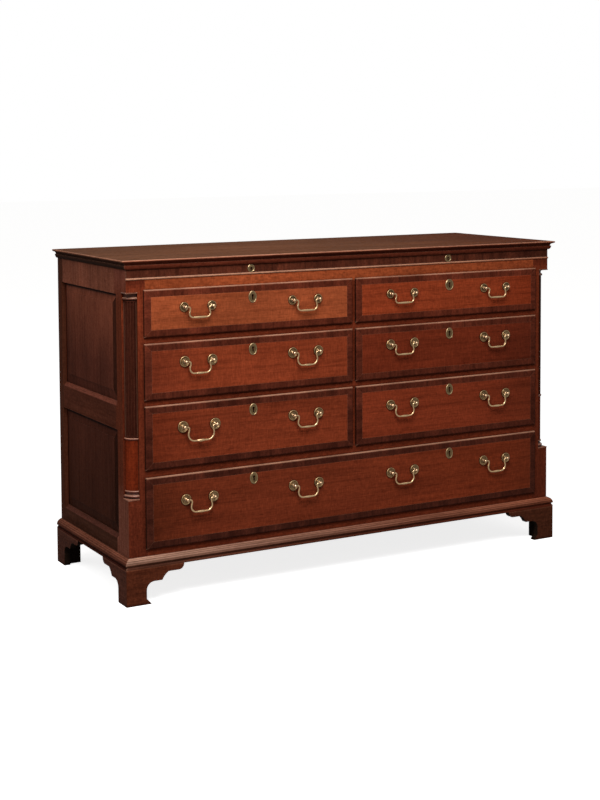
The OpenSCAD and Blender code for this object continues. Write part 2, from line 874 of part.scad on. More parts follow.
// Section of the lid moulding as (projection from the carcass, height under the lid's top)
module lid_section() {
    h = lid_t + lid_skirt;
    nose_r = 3;
    cove_r = 8.5;
    x_cove = lid_overhang - 4;
    difference() {
        translate([lid_gap, -2 * nose_r - 1]) square([lid_overhang - lid_gap - nose_r, 2 * nose_r + 1]);
        translate([x_cove, -2 * nose_r - 1]) square([lid_overhang, 1]);
    }
    translate([lid_overhang - nose_r, -nose_r]) circle(nose_r);
    difference() {
        translate([lid_gap, -2 * nose_r - 1 - cove_r])
            square([x_cove - lid_gap, cove_r]);
        translate([x_cove, -2 * nose_r - 1 - cove_r]) circle(cove_r);
    }
    intersection() {
        translate([lid_gap, -h]) square([x_cove - cove_r + 2, h - 2 * nose_r - 1 - cove_r]);
        translate([-6.2, -2 * nose_r - 2 - cove_r]) circle(15.2);
    }
}

module lid_board() {
    color(SIDE_OAK) difference() {
        block([-half - lid_gap, front_y - lid_gap, body_top],
              [half + lid_gap, back_y, body_top + lid_t]);
        for (x = HINGES) hinge_leaf_space(x, 1);
        for (x = [-short_x, short_x]) staple_plate(x, glue_gap);
    }
}

module lid_moulding() {
    reach = lid_overhang + 5;
    top = body_top + lid_t;
    color(SIDE_OAK) {
        intersection() {
            run_x(-half - lid_overhang, half + lid_overhang)
                translate([front_y, top]) mirror([1, 0]) lid_section();
            front_wedge(reach, 0, top + over_cut);
        }
        both_sides() intersection() {
            run_y(front_y - lid_overhang, back_y)
                translate([-half, top]) mirror([1, 0]) lid_section();
            side_wedge(reach, 0, top + over_cut);
        }
    }
}

// Hinges

// Room for a leaf at x in the carcass (side = -1) or in the lid (side = 1)
module hinge_leaf_space(x, side) {
    hinge_leaf_plate(x, side, glue_gap);
}

module hinge_leaf_plate(x, side, more) {
    z0 = side > 0 ? hinge_z : hinge_z - leaf_t - more;
    z1 = side > 0 ? hinge_z + leaf_t + more : hinge_z;
    cut = more > 0 ? over_cut : 0;
    block([x - hinge_len / 2 - more, back_y - leaf_w - more, side > 0 ? z0 - cut : z0],
          [x + hinge_len / 2 + more, back_y + cut, side > 0 ? z1 : z1 + cut]);
}

// One knuckle between x0 and x1 with its web to the leaf
module knuckle(x0, x1, side) {
    web0 = side > 0 ? hinge_z + 0.2 : hinge_z - leaf_t;
    web1 = side > 0 ? hinge_z + leaf_t : hinge_z - 0.2;
    difference() {
        union() {
            run_x(x0, x1) translate([hinge_y, hinge_z]) circle(knuckle_r);
            block([x0, back_y - 0.5, web0], [x1, hinge_y, web1]);
        }
        run_x(x0 - over_cut, x1 + over_cut) translate([hinge_y, hinge_z])
            circle(hinge_pin_r + run_clear);
    }
}

knuckle_gap = 0.5;

module carcass_hinge_leaves() {
    third = hinge_len / 3;
    color(IRON) for (x = HINGES) {
        difference() {
            union() {
                hinge_leaf_plate(x, -1, 0);
                knuckle(x - hinge_len / 2, x - third / 2 - knuckle_gap, -1);
                knuckle(x + third / 2 + knuckle_gap, x + hinge_len / 2, -1);
            }
            block([x - third / 2 - knuckle_gap, back_y, hinge_z - knuckle_r],
                  [x + third / 2 + knuckle_gap, hinge_y + knuckle_r, hinge_z + knuckle_r]);
        }
        run_x(x - hinge_len / 2 - 1, x + hinge_len / 2 + 1) translate([hinge_y, hinge_z])
            circle(hinge_pin_r);
    }
}

module lid_hinge_leaves() {
    third = hinge_len / 3;
    color(IRON) for (x = HINGES) union() {
        hinge_leaf_plate(x, 1, 0);
        knuckle(x - third / 2, x + third / 2, 1);
    }
}

// Locks and escutcheons

staple_x = 15;
staple_size = [8, 5, 14];
lock_y = front_y + frame_t;                    // inner face of the top rail

// A lock without its holes, let into wood whose back is at y and whose upper edge is at top:
// a plate on the back, a plate on the edge, and the case between them. As a cutter it is larger
// by "more" and goes on past the back and the edge.
module lock_body(size, x, y, top, more) {
    past = more > 0 ? over_cut : 0;
    plate = size[0] / 2 + more;
    case = size[0] / 2 - case_in + more;
    hi = [plate, past, past];
    translate([x, y, top]) {
        block([-plate, -lock_plate_t - more, -size[2] - more], hi);
        block([-plate, -size[1] - more, -lock_plate_t - more], hi);
        block([-case, 1 - size[1] - more, case_in - size[2] - more], [case, past, past]);
    }
}

staple_y = lock_y - chest_lock[1] / 2;

// Plate of a lid staple, let into the underside of the lid
module staple_plate(x, more) {
    y = staple_y;
    cut = more > 0 ? over_cut : 0;
    block([x - 32 - more, y - 7 - more, body_top - cut],
          [x + 32 + more, y + 7 + more, body_top + lock_plate_t + more]);
}

module lid_staples() {
    color(BRASS) for (x = [-short_x, short_x]) {
        staple_plate(x, 0);
        for (s = [-1, 1]) translate([x + s * staple_x, staple_y, body_top]) difference() {
            translate([-staple_size[0] / 2, -staple_size[1] / 2, -staple_size[2]])
                cube([staple_size[0], staple_size[1], staple_size[2] + 0.5]);
            translate([0, 0, -staple_size[2] + 5]) rotate([90, 0, 0])
                cylinder(h = 20, r = 2, center = true);
        }
    }
}

module chest_locks() {
    slot = staple_size + [3, 3, 3];
    color(BRASS) for (x = [-short_x, short_x]) difference() {
        lock_body(chest_lock, x, lock_y, body_top, 0);
        for (s = [-1, 1])
            translate([x + s * staple_x - slot[0] / 2, staple_y - slot[1] / 2, body_top - slot[2]])
                cube([slot[0], slot[1], slot[2] + over_cut]);
        run_y(lock_y - chest_lock[1] - over_cut, lock_y - 3)
            translate([x, chest_key_z]) keyhole();
    }
}

// Flat oval between the axes w and h
module oval(w, h) {
    polygon([for (i = [0:47]) [w / 2 * cos(i * 7.5), h / 2 * sin(i * 7.5)]]);
}

// An escutcheon against the plane y: a stepped oval with its keyhole
module escutcheon(x, y, z, w, h) {
    translate([x, y, z]) rotate([90, 0, 0]) difference() {
        union() {
            linear_extrude(escutcheon_t / 2) oval(w, h);
            linear_extrude(escutcheon_t) difference() {
                oval(w - 3, h - 3);
                oval(w - 11, h - 11);
            }
        }
        translate([0, 0, -over_cut]) linear_extrude(escutcheon_t + 2 * over_cut) keyhole();
    }
}

frieze_escutcheon = [25, 29];
round_escutcheon = [32, 37];                   // on the right of the upper false fronts

module upper_escutcheons() {
    color(BRASS) for (x = [-short_x, short_x]) {
        for (row = [0, 1]) {
            rounder = row == 0 && x > 0;
            escutcheon(x, face_y, key_z(row), rounder ? round_escutcheon[0] : escutcheon_w,
                       rounder ? round_escutcheon[1] : escutcheon_h);
        }
        difference() {
            escutcheon(x, front_y, chest_key_z, frieze_escutcheon[0], frieze_escutcheon[1]);
            run_x(-half, half) translate([front_y, bead_z + bead_h / 2])
                circle(bead_h / 2 + glue_gap);
        }
    }
}

module drawer_escutcheon(row, x) {
    color(BRASS) escutcheon(x, face_y, key_z(row), escutcheon_w, escutcheon_h);
}

function drawer_lock_top(row) = LEVELS[row][1] - lip_over - drawer_slip;

// Lock let into the back and the upper edge of a drawer front
module drawer_lock_at(row, x) {
    y = front_y + front_t;
    color(BRASS) difference() {
        lock_body(drawer_lock, x, y, drawer_lock_top(row), 0);
        run_y(y - drawer_lock[1] - over_cut, y - 3) translate([x, key_z(row)]) keyhole();
    }
}

// Drawer boxes. Each is drawn from the plane of its lips (y = 0) and the lower edge of its front.

side_lap_y = 8;                                // sides enter the front this far from its lip
lap = seat_gap + front_t - side_lap_y - glue_gap;   // length of the tails in the front
bottom_enter = 5;                              // bottom in the grooves of the sides
bottom_z = lip_over + seat_gap + bottom_rise;  // underside of the bottom over the lip's edge
side_low = lip_over + seat_gap;                // lower edge of the sides
back_z = bottom_z + drawer_bottom_t;           // lower edge of the back, on the bottom
back_low = 8;                                  // the back stops this far below the front's edge

function side_top(h) = h - lip_over - drawer_slip - 1;
function back_top(h) = h - lip_over - drawer_slip - back_low;

// Tails between the heights z0 and z1, drawn as (depth, height). Their ends are at the depth
// "tip" and the wood runs on from there along "way". They are drawn from run0 to run1 behind
// their ends, and "grow" makes them larger all round, to cut their sockets.
module tails(tip, way, run0, run1, z0, z1, grow) {
    count = max(2, round((z1 - z0) / tail_pitch));
    pitch = (z1 - z0) / count;
    half0 = (pitch - pin_w) / 2 - run0 / tail_slope + grow;
    half1 = (pitch - pin_w) / 2 - run1 / tail_slope + grow;
    for (i = [0:count - 1]) translate([tip, z0 + (i + 0.5) * pitch])
        polygon([[way * run0, -half0], [way * run0, half0], [way * run1, half1],
                 [way * run1, -half1]]);
}

// Outline of a drawer side, with lapped tails in front and through tails behind
module drawer_side_outline(h) {
    tip = side_lap_y + glue_gap;
    top = side_top(h);
    inner = drawer_len - drawer_back_t - glue_gap;
    difference() {
        translate([tip, side_low]) square([drawer_len - tip, top - side_low]);
        difference() {
            translate([tip - over_cut, side_low - over_cut])
                square([lap + glue_gap + over_cut, top - side_low + 2 * over_cut]);
            tails(tip, 1, -2 * over_cut, lap + 2 * over_cut, side_low, top, 0);
        }
        difference() {
            translate([inner, back_z - glue_gap])
                square([drawer_len - inner + over_cut, back_top(h) - back_z + 2 * glue_gap]);
            tails(drawer_len, -1, -2 * over_cut, drawer_back_t + 2 * over_cut,
                  back_z, back_top(h), 0);
        }
    }
}

module drawer_sides(row, x, w) {
    h = LEVELS[row][1] - LEVELS[row][0];
    c = w / 2 - lip_over - drawer_slip;
    translate([x, front_y - seat_gap, LEVELS[row][0]]) color(DEAL) for (s = [0, 1])
        mirror([s, 0, 0]) difference() {
            run_x(-c, -c + drawer_side_t) drawer_side_outline(h);
            block([-c + drawer_side_t - bottom_enter - glue_gap, 0, bottom_z - glue_gap],
                  [0, drawer_len + over_cut, back_z + glue_gap]);
        }
}

// Back of a drawer, with its pins through the sides
module drawer_back(row, x, w) {
    h = LEVELS[row][1] - LEVELS[row][0];
    c = w / 2 - lip_over - drawer_slip;
    translate([x, front_y - seat_gap, LEVELS[row][0]]) color(DEAL) difference() {
        block([-c, drawer_len - drawer_back_t, back_z], [c, drawer_len, back_top(h)]);
        for (s = [0, 1]) mirror([s, 0, 0]) run_x(-c - over_cut, -c + drawer_side_t + glue_gap)
            tails(drawer_len, -1, -2 * over_cut, drawer_back_t + 2 * over_cut,
                  back_z, back_top(h), glue_gap);
    }
}

module drawer_bottom(row, x, w) {
    c = w / 2 - lip_over - drawer_slip - drawer_side_t + bottom_enter;
    translate([x, front_y - seat_gap, LEVELS[row][0]]) color(DEAL)
        block([-c, seat_gap + front_t - bottom_enter + glue_gap, bottom_z],
              [c, drawer_len - 2, bottom_z + drawer_bottom_t]);
}

// Handles

rose_mid_t = rose_t - 1.2;                     // a rose under the collar of its post
collar_r = shank_r + 2;
collar_t = 1.2;
knop = 13;                                     // half length of the turned middle of a grip

// How much each bail hangs lower than the others of its kind, in the rows of the photograph
DROP_MORE = [[0, 1, -2, 0], [-2, 2, -5, -3], [0, 0, 0, 0], [0, 0, 0, 1]];

function drop(row, i) =
    (row == 0 ? bail_drop_1 : is_large(row, i) ? bail_drop_large : bail_drop) + DROP_MORE[row][i];
function rose_radius(row, i) = row == 0 ? rose_r_1 : is_large(row, i) ? rose_r_large : rose_r;

// Rose: a dished round plate with a thick rounded rim and a hollow round its middle
module rose(r) {
    roll = rose_t * 0.45;
    inner = r - 2 * roll;
    dip_w = (inner - collar_r - 0.4) / 2;
    dip = rose_mid_t * 0.55;
    dip_r = (dip_w * dip_w + dip * dip) / (2 * dip);
    rotate([90, 0, 0]) rotate_extrude() difference() {
        union() {
            square([inner + 0.5, rose_mid_t]);
            translate([inner, 0]) square([2 * roll, rose_t - roll]);
            translate([r - roll, rose_t - roll]) circle(roll);
        }
        translate([inner - dip_w, rose_mid_t - dip + dip_r]) circle(dip_r);
        square([shank_r + bolt_clear / 2, rose_t + over_cut]);
    }
}

// Post: a bolt through the front, a shank through the rose, a collar with a hollow neck, and a
// ball that is bored for the bail from its inboard side s
module post(out, ball, s) {
    through = lip_proud + seat_gap + front_t + nut_t + 1.5;
    neck_r = collar_r - shank_r;
    low = rose_mid_t + glue_gap;
    difference() {
        rotate([90, 0, 0]) rotate_extrude() intersection() {
            union() {
                square([shank_r, out]);
                translate([0, out]) circle(ball);
                difference() {
                    translate([0, low]) square([collar_r, collar_t + neck_r]);
                    translate([collar_r, low + collar_t + neck_r]) circle(neck_r);
                }
                translate([0, -through]) square([bolt_r, through + 1]);
            }
            translate([0, -through]) square(2 * through);
        }
        translate([-s * 2, -out, 0]) rotate([0, s * 90, 0])
            cylinder(h = ball + 2 * over_cut + 2, r = pin_r + run_clear);
    }
}

// Round nut behind the front
module post_nut() {
    translate([0, lip_proud + seat_gap + front_t + nut_t + glue_gap, 0]) rotate([90, 0, 0])
        difference() {
            cylinder(h = nut_t, r = nut_r);
            translate([0, 0, -over_cut]) cylinder(h = nut_t + 2 * over_cut, r = bolt_r + bolt_clear);
        }
}

module handle_mount(row, i) {
    large = is_large(row, i);
    bore = large ? boring_large : boring;
    for (s = [-1, 1]) translate([HANDLE_X[i] + s * bore / 2, face_y, handle_z(row)]) {
        rose(rose_radius(row, i));
        post(large ? axis_out_large : axis_out, large ? ball_r_large : ball_r, -s);
        post_nut();
    }
}

module handle_mounts(row, list) {
    color(BRASS) for (i = list) handle_mount(row, i);
}

// Wire of radius t bent round a circle: centre, bend radius, first angle and sweep, in x and z
module bend(centre, r, from, sweep, t) {
    translate([centre[0], 0, centre[1]]) rotate([90, 0, 0])
        rotate([0, 0, sweep < 0 ? from + sweep : from])
            rotate_extrude(angle = abs(sweep)) translate([r, 0]) circle(t);
}

// Half of a swan-neck bail about its axis: the end in the post, a straight piece inwards, a bend
// down, a swell outwards, the lower corner, and half of the grip. The grip is turned thicker
// over the half length "turned", and it ends in a shoulder just past the lower corner.
module half_bail(bore, ball, drop, thick, turned) {
    top_r = 5.5;
    leg_in = 14;                               // the bend's leg inboard of the post
    swan_r = 30;
    swan = 20;
    low_t = wire_r + 0.15;                     // the wire is a little stouter below the swell
    low_r = (drop - top_r - swan_r * sin(swan)) / (1 + sin(swan));
    x_leg = bore / 2 - leg_in;
    x_top = x_leg + top_r;
    x_end = bore / 2 - ball - 0.2;
    x_low = x_leg + swan_r * (1 - cos(swan)) - low_r * cos(swan);
    rod = low_t + 0.12;
    fall = thick - low_t;
    length = min(turned, x_low);
    bow = (length * length + fall * fall) / (2 * fall);
    translate([x_end - 0.5, 0, 0]) rotate([0, 90, 0])
        cylinder(h = bore / 2 + 1.2 - x_end + 0.5, r = pin_r);
    translate([x_top, 0, 0]) rotate([0, 90, 0]) cylinder(h = x_end - x_top, r = wire_r);
    bend([x_top, -top_r], top_r, 90, 90, wire_r);
    bend([x_leg + swan_r, -top_r], swan_r, 180, swan + 1.5, wire_r);
    bend([x_low, -drop + low_r], low_r, swan, -90 - swan, low_t);
    translate([0, 0, -drop]) rotate([0, 90, 0]) rotate_extrude() {
        square([rod, x_low + 0.3]);
        intersection() {
            square([2 * thick, length]);
            translate([thick - bow, 0]) circle(bow, $fn = 256);
        }
    }
}

module bail(row, i) {
    large = is_large(row, i);
    translate([HANDLE_X[i], face_y - (large ? axis_out_large : axis_out), handle_z(row)])
        color(BRASS) both_sides()
            half_bail(large ? boring_large : boring, large ? ball_r_large : ball_r,
                      drop(row, i), large ? grip_r + 1 : grip_r, row == 0 ? boring : knop);
}

corner_posts();
side_rails();
side_panels();
corner_columns();
front_rails();
front_muntins();
false_fronts();
frieze();
rear_rails();
back_boards();
chest_floor();
runners_and_bearers();
base_moulding();
front_feet();
rear_feet();
union() {  // upper_handle_mounts
    handle_mounts(0, [0:3]);
    handle_mounts(1, [0:3]);
}
upper_escutcheons();
chest_locks();
carcass_hinge_leaves();
lid_board();
lid_moulding();
lid_hinge_leaves();
lid_staples();
lipped_front(2, -short_x, short_w, [HANDLE_X[0], HANDLE_X[1]], [-short_x], drawer_slip, true);  // left_drawer_front
drawer_sides(2, -short_x, short_w);  // left_drawer_sides
drawer_back(2, -short_x, short_w);  // left_drawer_back
drawer_bottom(2, -short_x, short_w);  // left_drawer_bottom
handle_mounts(2, [0, 1]);  // left_drawer_handle_mounts
drawer_escutcheon(2, -short_x);  // left_drawer_escutcheon
drawer_lock_at(2, -short_x);  // left_drawer_lock
lipped_front(2, short_x, short_w, [HANDLE_X[2], HANDLE_X[3]], [short_x], drawer_slip, true);  // right_drawer_front
drawer_sides(2, short_x, short_w);  // right_drawer_sides
drawer_back(2, short_x, short_w);  // right_drawer_back
drawer_bottom(2, short_x, short_w);  // right_drawer_bottom
handle_mounts(2, [2, 3]);  // right_drawer_handle_mounts
drawer_escutcheon(2, short_x);  // right_drawer_escutcheon
drawer_lock_at(2, short_x);  // right_drawer_lock
lipped_front(3, 0, long_w, HANDLE_X, [-short_x, short_x], drawer_slip, true);  // long_drawer_front
drawer_sides(3, 0, long_w);  // long_drawer_sides
drawer_back(3, 0, long_w);  // long_drawer_back
drawer_bottom(3, 0, long_w);  // long_drawer_bottom
handle_mounts(3, [0:3]);  // long_drawer_handle_mounts
union() {  // long_drawer_escutcheon
    drawer_escutcheon(3, -short_x);
    drawer_escutcheon(3, short_x);
}
union() {  // long_drawer_lock
    drawer_lock_at(3, -short_x);
    drawer_lock_at(3, short_x);
}
bail(0, 0);  // bail_1a
bail(0, 1);  // bail_1b
bail(0, 2);  // bail_1c
bail(0, 3);  // bail_1d
bail(1, 0);  // bail_2a
bail(1, 1);  // bail_2b
bail(1, 2);  // bail_2c
bail(1, 3);  // bail_2d
bail(2, 0);  // bail_3a
bail(2, 1);  // bail_3b
bail(2, 2);  // bail_3c
bail(2, 3);  // bail_3d
bail(3, 0);  // bail_4a
bail(3, 1);  // bail_4b
bail(3, 2);  // bail_4c
bail(3, 3);  // bail_4d
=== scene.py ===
# %% [markdown]
# # An oak mule chest with mahogany crossbanding and swan-neck brass handles
# A mule chest is a blanket chest with drawers under it. Here the lid opens over four false
# drawer fronts, and under them two short drawers and one long one slide out. The woodwork, the
# handles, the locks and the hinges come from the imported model. This script gives them their
# woods and metals, and models the keyhole plates by hand, because castings this small have
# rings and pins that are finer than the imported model's.

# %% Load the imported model
import math

import bmesh
import bpy
import numpy as np
from mathutils import Matrix, Vector


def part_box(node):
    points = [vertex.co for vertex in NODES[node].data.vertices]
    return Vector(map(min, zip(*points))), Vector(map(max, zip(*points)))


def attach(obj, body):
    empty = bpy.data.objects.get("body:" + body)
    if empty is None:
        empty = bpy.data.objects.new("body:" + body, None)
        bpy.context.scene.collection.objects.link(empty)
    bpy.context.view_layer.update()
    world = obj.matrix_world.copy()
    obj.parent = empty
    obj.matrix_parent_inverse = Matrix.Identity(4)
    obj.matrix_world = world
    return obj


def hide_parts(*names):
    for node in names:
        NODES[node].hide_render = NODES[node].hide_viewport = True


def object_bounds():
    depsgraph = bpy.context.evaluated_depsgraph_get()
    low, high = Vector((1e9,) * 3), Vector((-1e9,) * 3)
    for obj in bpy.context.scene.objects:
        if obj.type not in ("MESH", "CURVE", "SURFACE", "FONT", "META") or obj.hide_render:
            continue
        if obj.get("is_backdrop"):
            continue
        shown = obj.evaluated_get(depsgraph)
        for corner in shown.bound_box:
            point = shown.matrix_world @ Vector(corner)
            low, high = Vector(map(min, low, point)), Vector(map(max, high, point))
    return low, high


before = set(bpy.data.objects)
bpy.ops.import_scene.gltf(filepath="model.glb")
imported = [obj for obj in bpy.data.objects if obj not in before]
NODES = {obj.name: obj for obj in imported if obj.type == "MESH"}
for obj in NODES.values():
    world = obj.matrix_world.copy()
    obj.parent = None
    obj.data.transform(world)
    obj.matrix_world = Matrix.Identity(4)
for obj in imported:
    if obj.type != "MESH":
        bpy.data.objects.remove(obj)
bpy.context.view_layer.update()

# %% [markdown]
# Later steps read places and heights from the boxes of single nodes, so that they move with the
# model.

LOW, HIGH = 0, 1                                # the two corners of a box
X, Y, Z = 0, 1, 2

# %% [markdown]
# ## Camera
# The camera stands where the photograph was taken: a little left of the chest, a little above
# the lid and nearly five metres off. The upright edges of the chest look parallel in the
# photograph, so the lens is shifted down instead of tilting the whole camera, as with a view
# camera. The turn is put together from three plain turns: round the chest, down, and a touch of
# roll.

# %% Set up the camera
PHOTO_LONG_SIDE = 800
FOCAL_PIXELS = 1512.01
SHIFT_PIXELS = -160
SENSOR = 36                                     # millimetres
AIM = Vector((-0.19348, -0.2751, 1.06864))      # a point on the axis of the lens
DISTANCE = 4.71226
AZIMUTH, ELEVATION, ROLL = (math.radians(a) for a in (-29.2478, 3.7073, -0.2993))

turn = (Matrix.Rotation(AZIMUTH, 4, "Z") @ Matrix.Rotation(math.pi / 2 - ELEVATION, 4, "X")
        @ Matrix.Rotation(ROLL, 4, "Z"))
back = Vector((math.sin(AZIMUTH) * math.cos(ELEVATION),
               -math.cos(AZIMUTH) * math.cos(ELEVATION), math.sin(ELEVATION)))
bpy.ops.object.select_all(action="DESELECT")
bpy.ops.object.camera_add(location=AIM + back * DISTANCE)
camera = bpy.context.object
camera.name = "photo_camera"
camera.rotation_euler = turn.to_euler()
camera.data.sensor_width = SENSOR
camera.data.lens = FOCAL_PIXELS * SENSOR / PHOTO_LONG_SIDE
camera.data.shift_y = SHIFT_PIXELS / PHOTO_LONG_SIDE
bpy.context.scene.camera = camera
print("camera at", [round(v, 3) for v in camera.location], "lens", round(camera.data.lens, 2))

# %% [markdown]
# ## Putting nodes together
# The light, the floor and every finish are made of nodes. A small helper adds a node, sets its
# sockets and joins them in one line. A node tree could also be drawn by hand in the shader
# editor, but here one recipe has to make about forty woods.

# %% A helper that adds nodes
class Tree:
    """A node tree that is put together one node at a time."""

    def __init__(self, tree):
        self.tree = tree

    def add(self, kind, values=(), **settings):
        """Adds a node. values maps a socket's name or number to a number, colour or socket."""
        new = self.tree.nodes.new("ShaderNode" + kind)
        for key, value in settings.items():
            setattr(new, key, value)
        for key, value in dict(values).items():
            self.put(new.inputs[key], value)
        return new

    def put(self, socket, value):
        """Sets a socket, or joins another one to it."""
        if isinstance(value, bpy.types.NodeSocket):
            self.tree.links.new(value, socket)
        else:
            socket.default_value = value

    def maths(self, operation, first, second):
        return self.add("Math", {0: first, 1: second}, operation=operation).outputs[0]

    def rays(self):
        """A socket that is 1 for what the camera sees, and one for what mirrors and glass show."""
        path = self.add("LightPath").outputs
        mirrored = self.maths("MAXIMUM", path["Is Glossy Ray"], path["Is Transmission Ray"])
        return path["Is Camera Ray"], mirrored


# %% [markdown]
# ## Light
# One broad lamp hangs above the front of the chest, left of its middle, and gives the fall from
# bright upper drawers to darker lower ones. A weak one opens the shadows on the left side. The
# world adds an even fill. To the camera it is plain white, and to mirror rays a pale grey, so
# that brass has something light to reflect. A world that was white to every ray would lay a
# milky veil over the dark wood. The Standard view shows colours as they are written.

# %% Hang the lamps
def softbox(name, place, aim, size, watts):
    """A square area lamp at place, turned to aim."""
    bpy.ops.object.light_add(type="AREA", location=place)
    lamp = bpy.context.object
    lamp.name = name
    lamp.data.size = size
    lamp.data.energy = watts
    lamp.rotation_euler = (Vector(place) - Vector(aim)).to_track_quat("Z", "Y").to_euler()


softbox("key_lamp", (-1.2, -2.1, 3.0), aim=(0, -0.2, 0.6), size=1.5, watts=110)
softbox("left_fill_lamp", (-2.8, -0.7, 2.4), aim=(-0.7, 0, 0.6), size=1.2, watts=22)

# %% Light the world
FILL = {"Color": (1, 0.985, 0.96, 1), "Strength": 0.22}
IN_MIRRORS = {"Color": (0.8, 0.8, 0.8, 1), "Strength": 0.70}
BACKDROP = {"Color": (1, 1, 1, 1), "Strength": 1.0}

world = bpy.data.worlds.new("studio")
world.use_nodes = True
world.node_tree.nodes.clear()
bpy.context.scene.world = world
sky = Tree(world.node_tree)
seen, mirrored = sky.rays()
fill, pale, white = (sky.add("Background", glow).outputs[0] for glow in (FILL, IN_MIRRORS, BACKDROP))
unseen = sky.add("MixShader", {0: mirrored, 1: fill, 2: pale}).outputs[0]
shown = sky.add("MixShader", {0: seen, 1: unseen, 2: white}).outputs[0]
sky.add("OutputWorld", {"Surface": shown})
bpy.context.scene.view_settings.view_transform = "Standard"
print("world", world.name, "nodes", len(world.node_tree.nodes))

# %% [markdown]
# ## Floor
# The floor is one wide pale sheet of grey paper. To the camera it is white and glows besides
# being lit, so that it melts into the white behind and still keeps the shadow under the feet.
# Mirror rays see a share of that white as well, as they see a pale world.

# %% Lay the floor
FLOOR_SIZE = 60
GREY, PALE = (0.26, 0.25, 0.245, 1), (0.80, 0.80, 0.80, 1)
GLOW = 0.81
MIRRORED_SHARE = 0.12

bpy.ops.object.select_all(action="DESELECT")
bpy.ops.mesh.primitive_plane_add(size=FLOOR_SIZE, location=(0, 0, 0))
floor = bpy.context.object
floor.name = "floor"
paper = bpy.data.materials.new("pale_floor")
paper.use_nodes = True
paper.node_tree.nodes.remove(paper.node_tree.nodes["Principled BSDF"])
sheet = Tree(paper.node_tree)
seen, mirrored = sheet.rays()
grey = sheet.add("BsdfDiffuse", {"Color": GREY}).outputs[0]
pale = sheet.add("BsdfDiffuse", {"Color": PALE}).outputs[0]
glow = sheet.add("Emission", {"Strength": GLOW}).outputs[0]
shown = sheet.add("AddShader", {0: pale, 1: glow}).outputs[0]
share = sheet.add("Math", {0: mirrored, 1: MIRRORED_SHARE, 2: seen}, operation="MULTIPLY_ADD")
either = sheet.add("MixShader", {0: share.outputs[0], 1: grey, 2: shown}).outputs[0]
sheet.put(paper.node_tree.nodes["Material Output"].inputs["Surface"], either)
floor.data.materials.append(paper)
floor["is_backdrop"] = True
print("floor", [round(side, 2) for side in floor.dimensions])

# %% [markdown]
# ## Woods
# Every wood here is built the same way, from its broadest pattern to its finest: slow clouds of
# colour as long as a forearm, streaks along the grain, short mottles and specks, the rays that
# cross the grain of oak, and pores as fine as a hair. The pattern is read in metres from the
# piece's own coordinates, and a Mapping node stretches it along the grain. A Mapping node turned
# a quarter makes the grain run up or back instead. Ambient Occlusion darkens corners and gaps,
# partly as grime and partly as painted shade, and the same node looking inwards finds the edges
# that hands have worn light. Faces that look up are lightened as a painted highlight.
# Roughness and bump use the same noises as the colour, so that a dark streak is also a little
# duller, and a dark pore is a little groove. An image of real wood would be quicker to set up,
# but it would repeat, and each board would need its own cut of it.

# %% A helper that colours a material
class Finish(Tree):
    """The nodes of a new material, with its shader, and ways to colour it."""

    def __init__(self, name):
        self.material = bpy.data.materials.new(name)
        self.material.use_nodes = True
        super().__init__(self.material.node_tree)
        self.shader = self.tree.nodes["Principled BSDF"]

    def mix(self, blend, factor, first, second):
        """Mixes two colours and gives the result's socket."""
        new = self.add("Mix", {0: factor, 6: first, 7: second}, data_type="RGBA",
                       blend_type=blend)
        return new.outputs[2]

    def ramp(self, factor, stops):
        """A colour ramp: stops are (position, colour) pairs."""
        new = self.add("ValToRGB", {"Fac": factor})
        bar = new.color_ramp
        while len(bar.elements) < len(stops):
            bar.elements.new(0.5)
        for element, (position, colour) in zip(bar.elements, stops):
            element.position = position
            element.color = (*colour, 1)
        return new.outputs["Color"]

    def tint(self, colour, strength, pattern, stops):
        """Multiplies a colour by a ramp over a pattern."""
        return self.mix("MULTIPLY", strength, colour, self.ramp(pattern, stops))

    def range(self, value, low, high, new_low=0.0, new_high=1.0):
        """Stretches low..high to new_low..new_high and holds it there."""
        new = self.add("MapRange", {"Value": value, "From Min": low, "From Max": high,
                                    "To Min": new_low, "To Max": new_high})
        return new.outputs["Result"]


# %% The patterns in a wood
TURN_TO_GRAIN = {"x": (0, 0, 0), "y": (0, 0, math.pi / 2), "z": (0, math.pi / 2, 0)}

# What the dark and the light places of each pattern do to the colour
PLAIN = (1, 1, 1)
STREAKED = [(0.32, (0.55, 0.50, 0.46)), (0.50, PLAIN), (0.70, (1.18, 1.16, 1.12))]
MOTTLED = [(0.34, (0.66, 0.60, 0.56)), (0.52, PLAIN), (0.68, (1.22, 1.24, 1.26))]
SPECKLED = [(0.30, (0.60, 0.56, 0.54)), (0.50, PLAIN), (0.70, (1.32, 1.34, 1.36))]
RAYED = [(0.38, (0.80, 0.78, 0.76)), (0.54, PLAIN), (0.68, (1.35, 1.38, 1.40))]
PORED = [(0.36, (0.45, 0.40, 0.36)), (0.46, PLAIN)]
BANDED = [(0.34, (0.58, 0.52, 0.50)), (0.50, PLAIN), (0.66, (1.4, 1.32, 1.28))]
STAINED = [(0.28, (0.42, 0.34, 0.32)), (0.42, PLAIN)]


def grain_noise(f, own, grain, seed):
    """A function that makes noises drawn out along the grain."""
    along = f.add("Mapping", {"Vector": own, "Location": (seed, seed * 1.7, seed * 0.6),
                              "Rotation": TURN_TO_GRAIN[grain]}).outputs[0]

    def noise(length, across, detail, rough, distortion=0.0):
        """Noise with features about length metres along the grain and across metres over it."""
        scaled = f.add("Mapping", {"Vector": along,
                                   "Scale": (1 / length, 1 / across, 1 / across)}).outputs[0]
        return f.add("TexNoise", {"Vector": scaled, "Scale": 1.0, "Detail": detail,
                                  "Roughness": rough, "Distortion": distortion}).outputs["Fac"]

    return noise
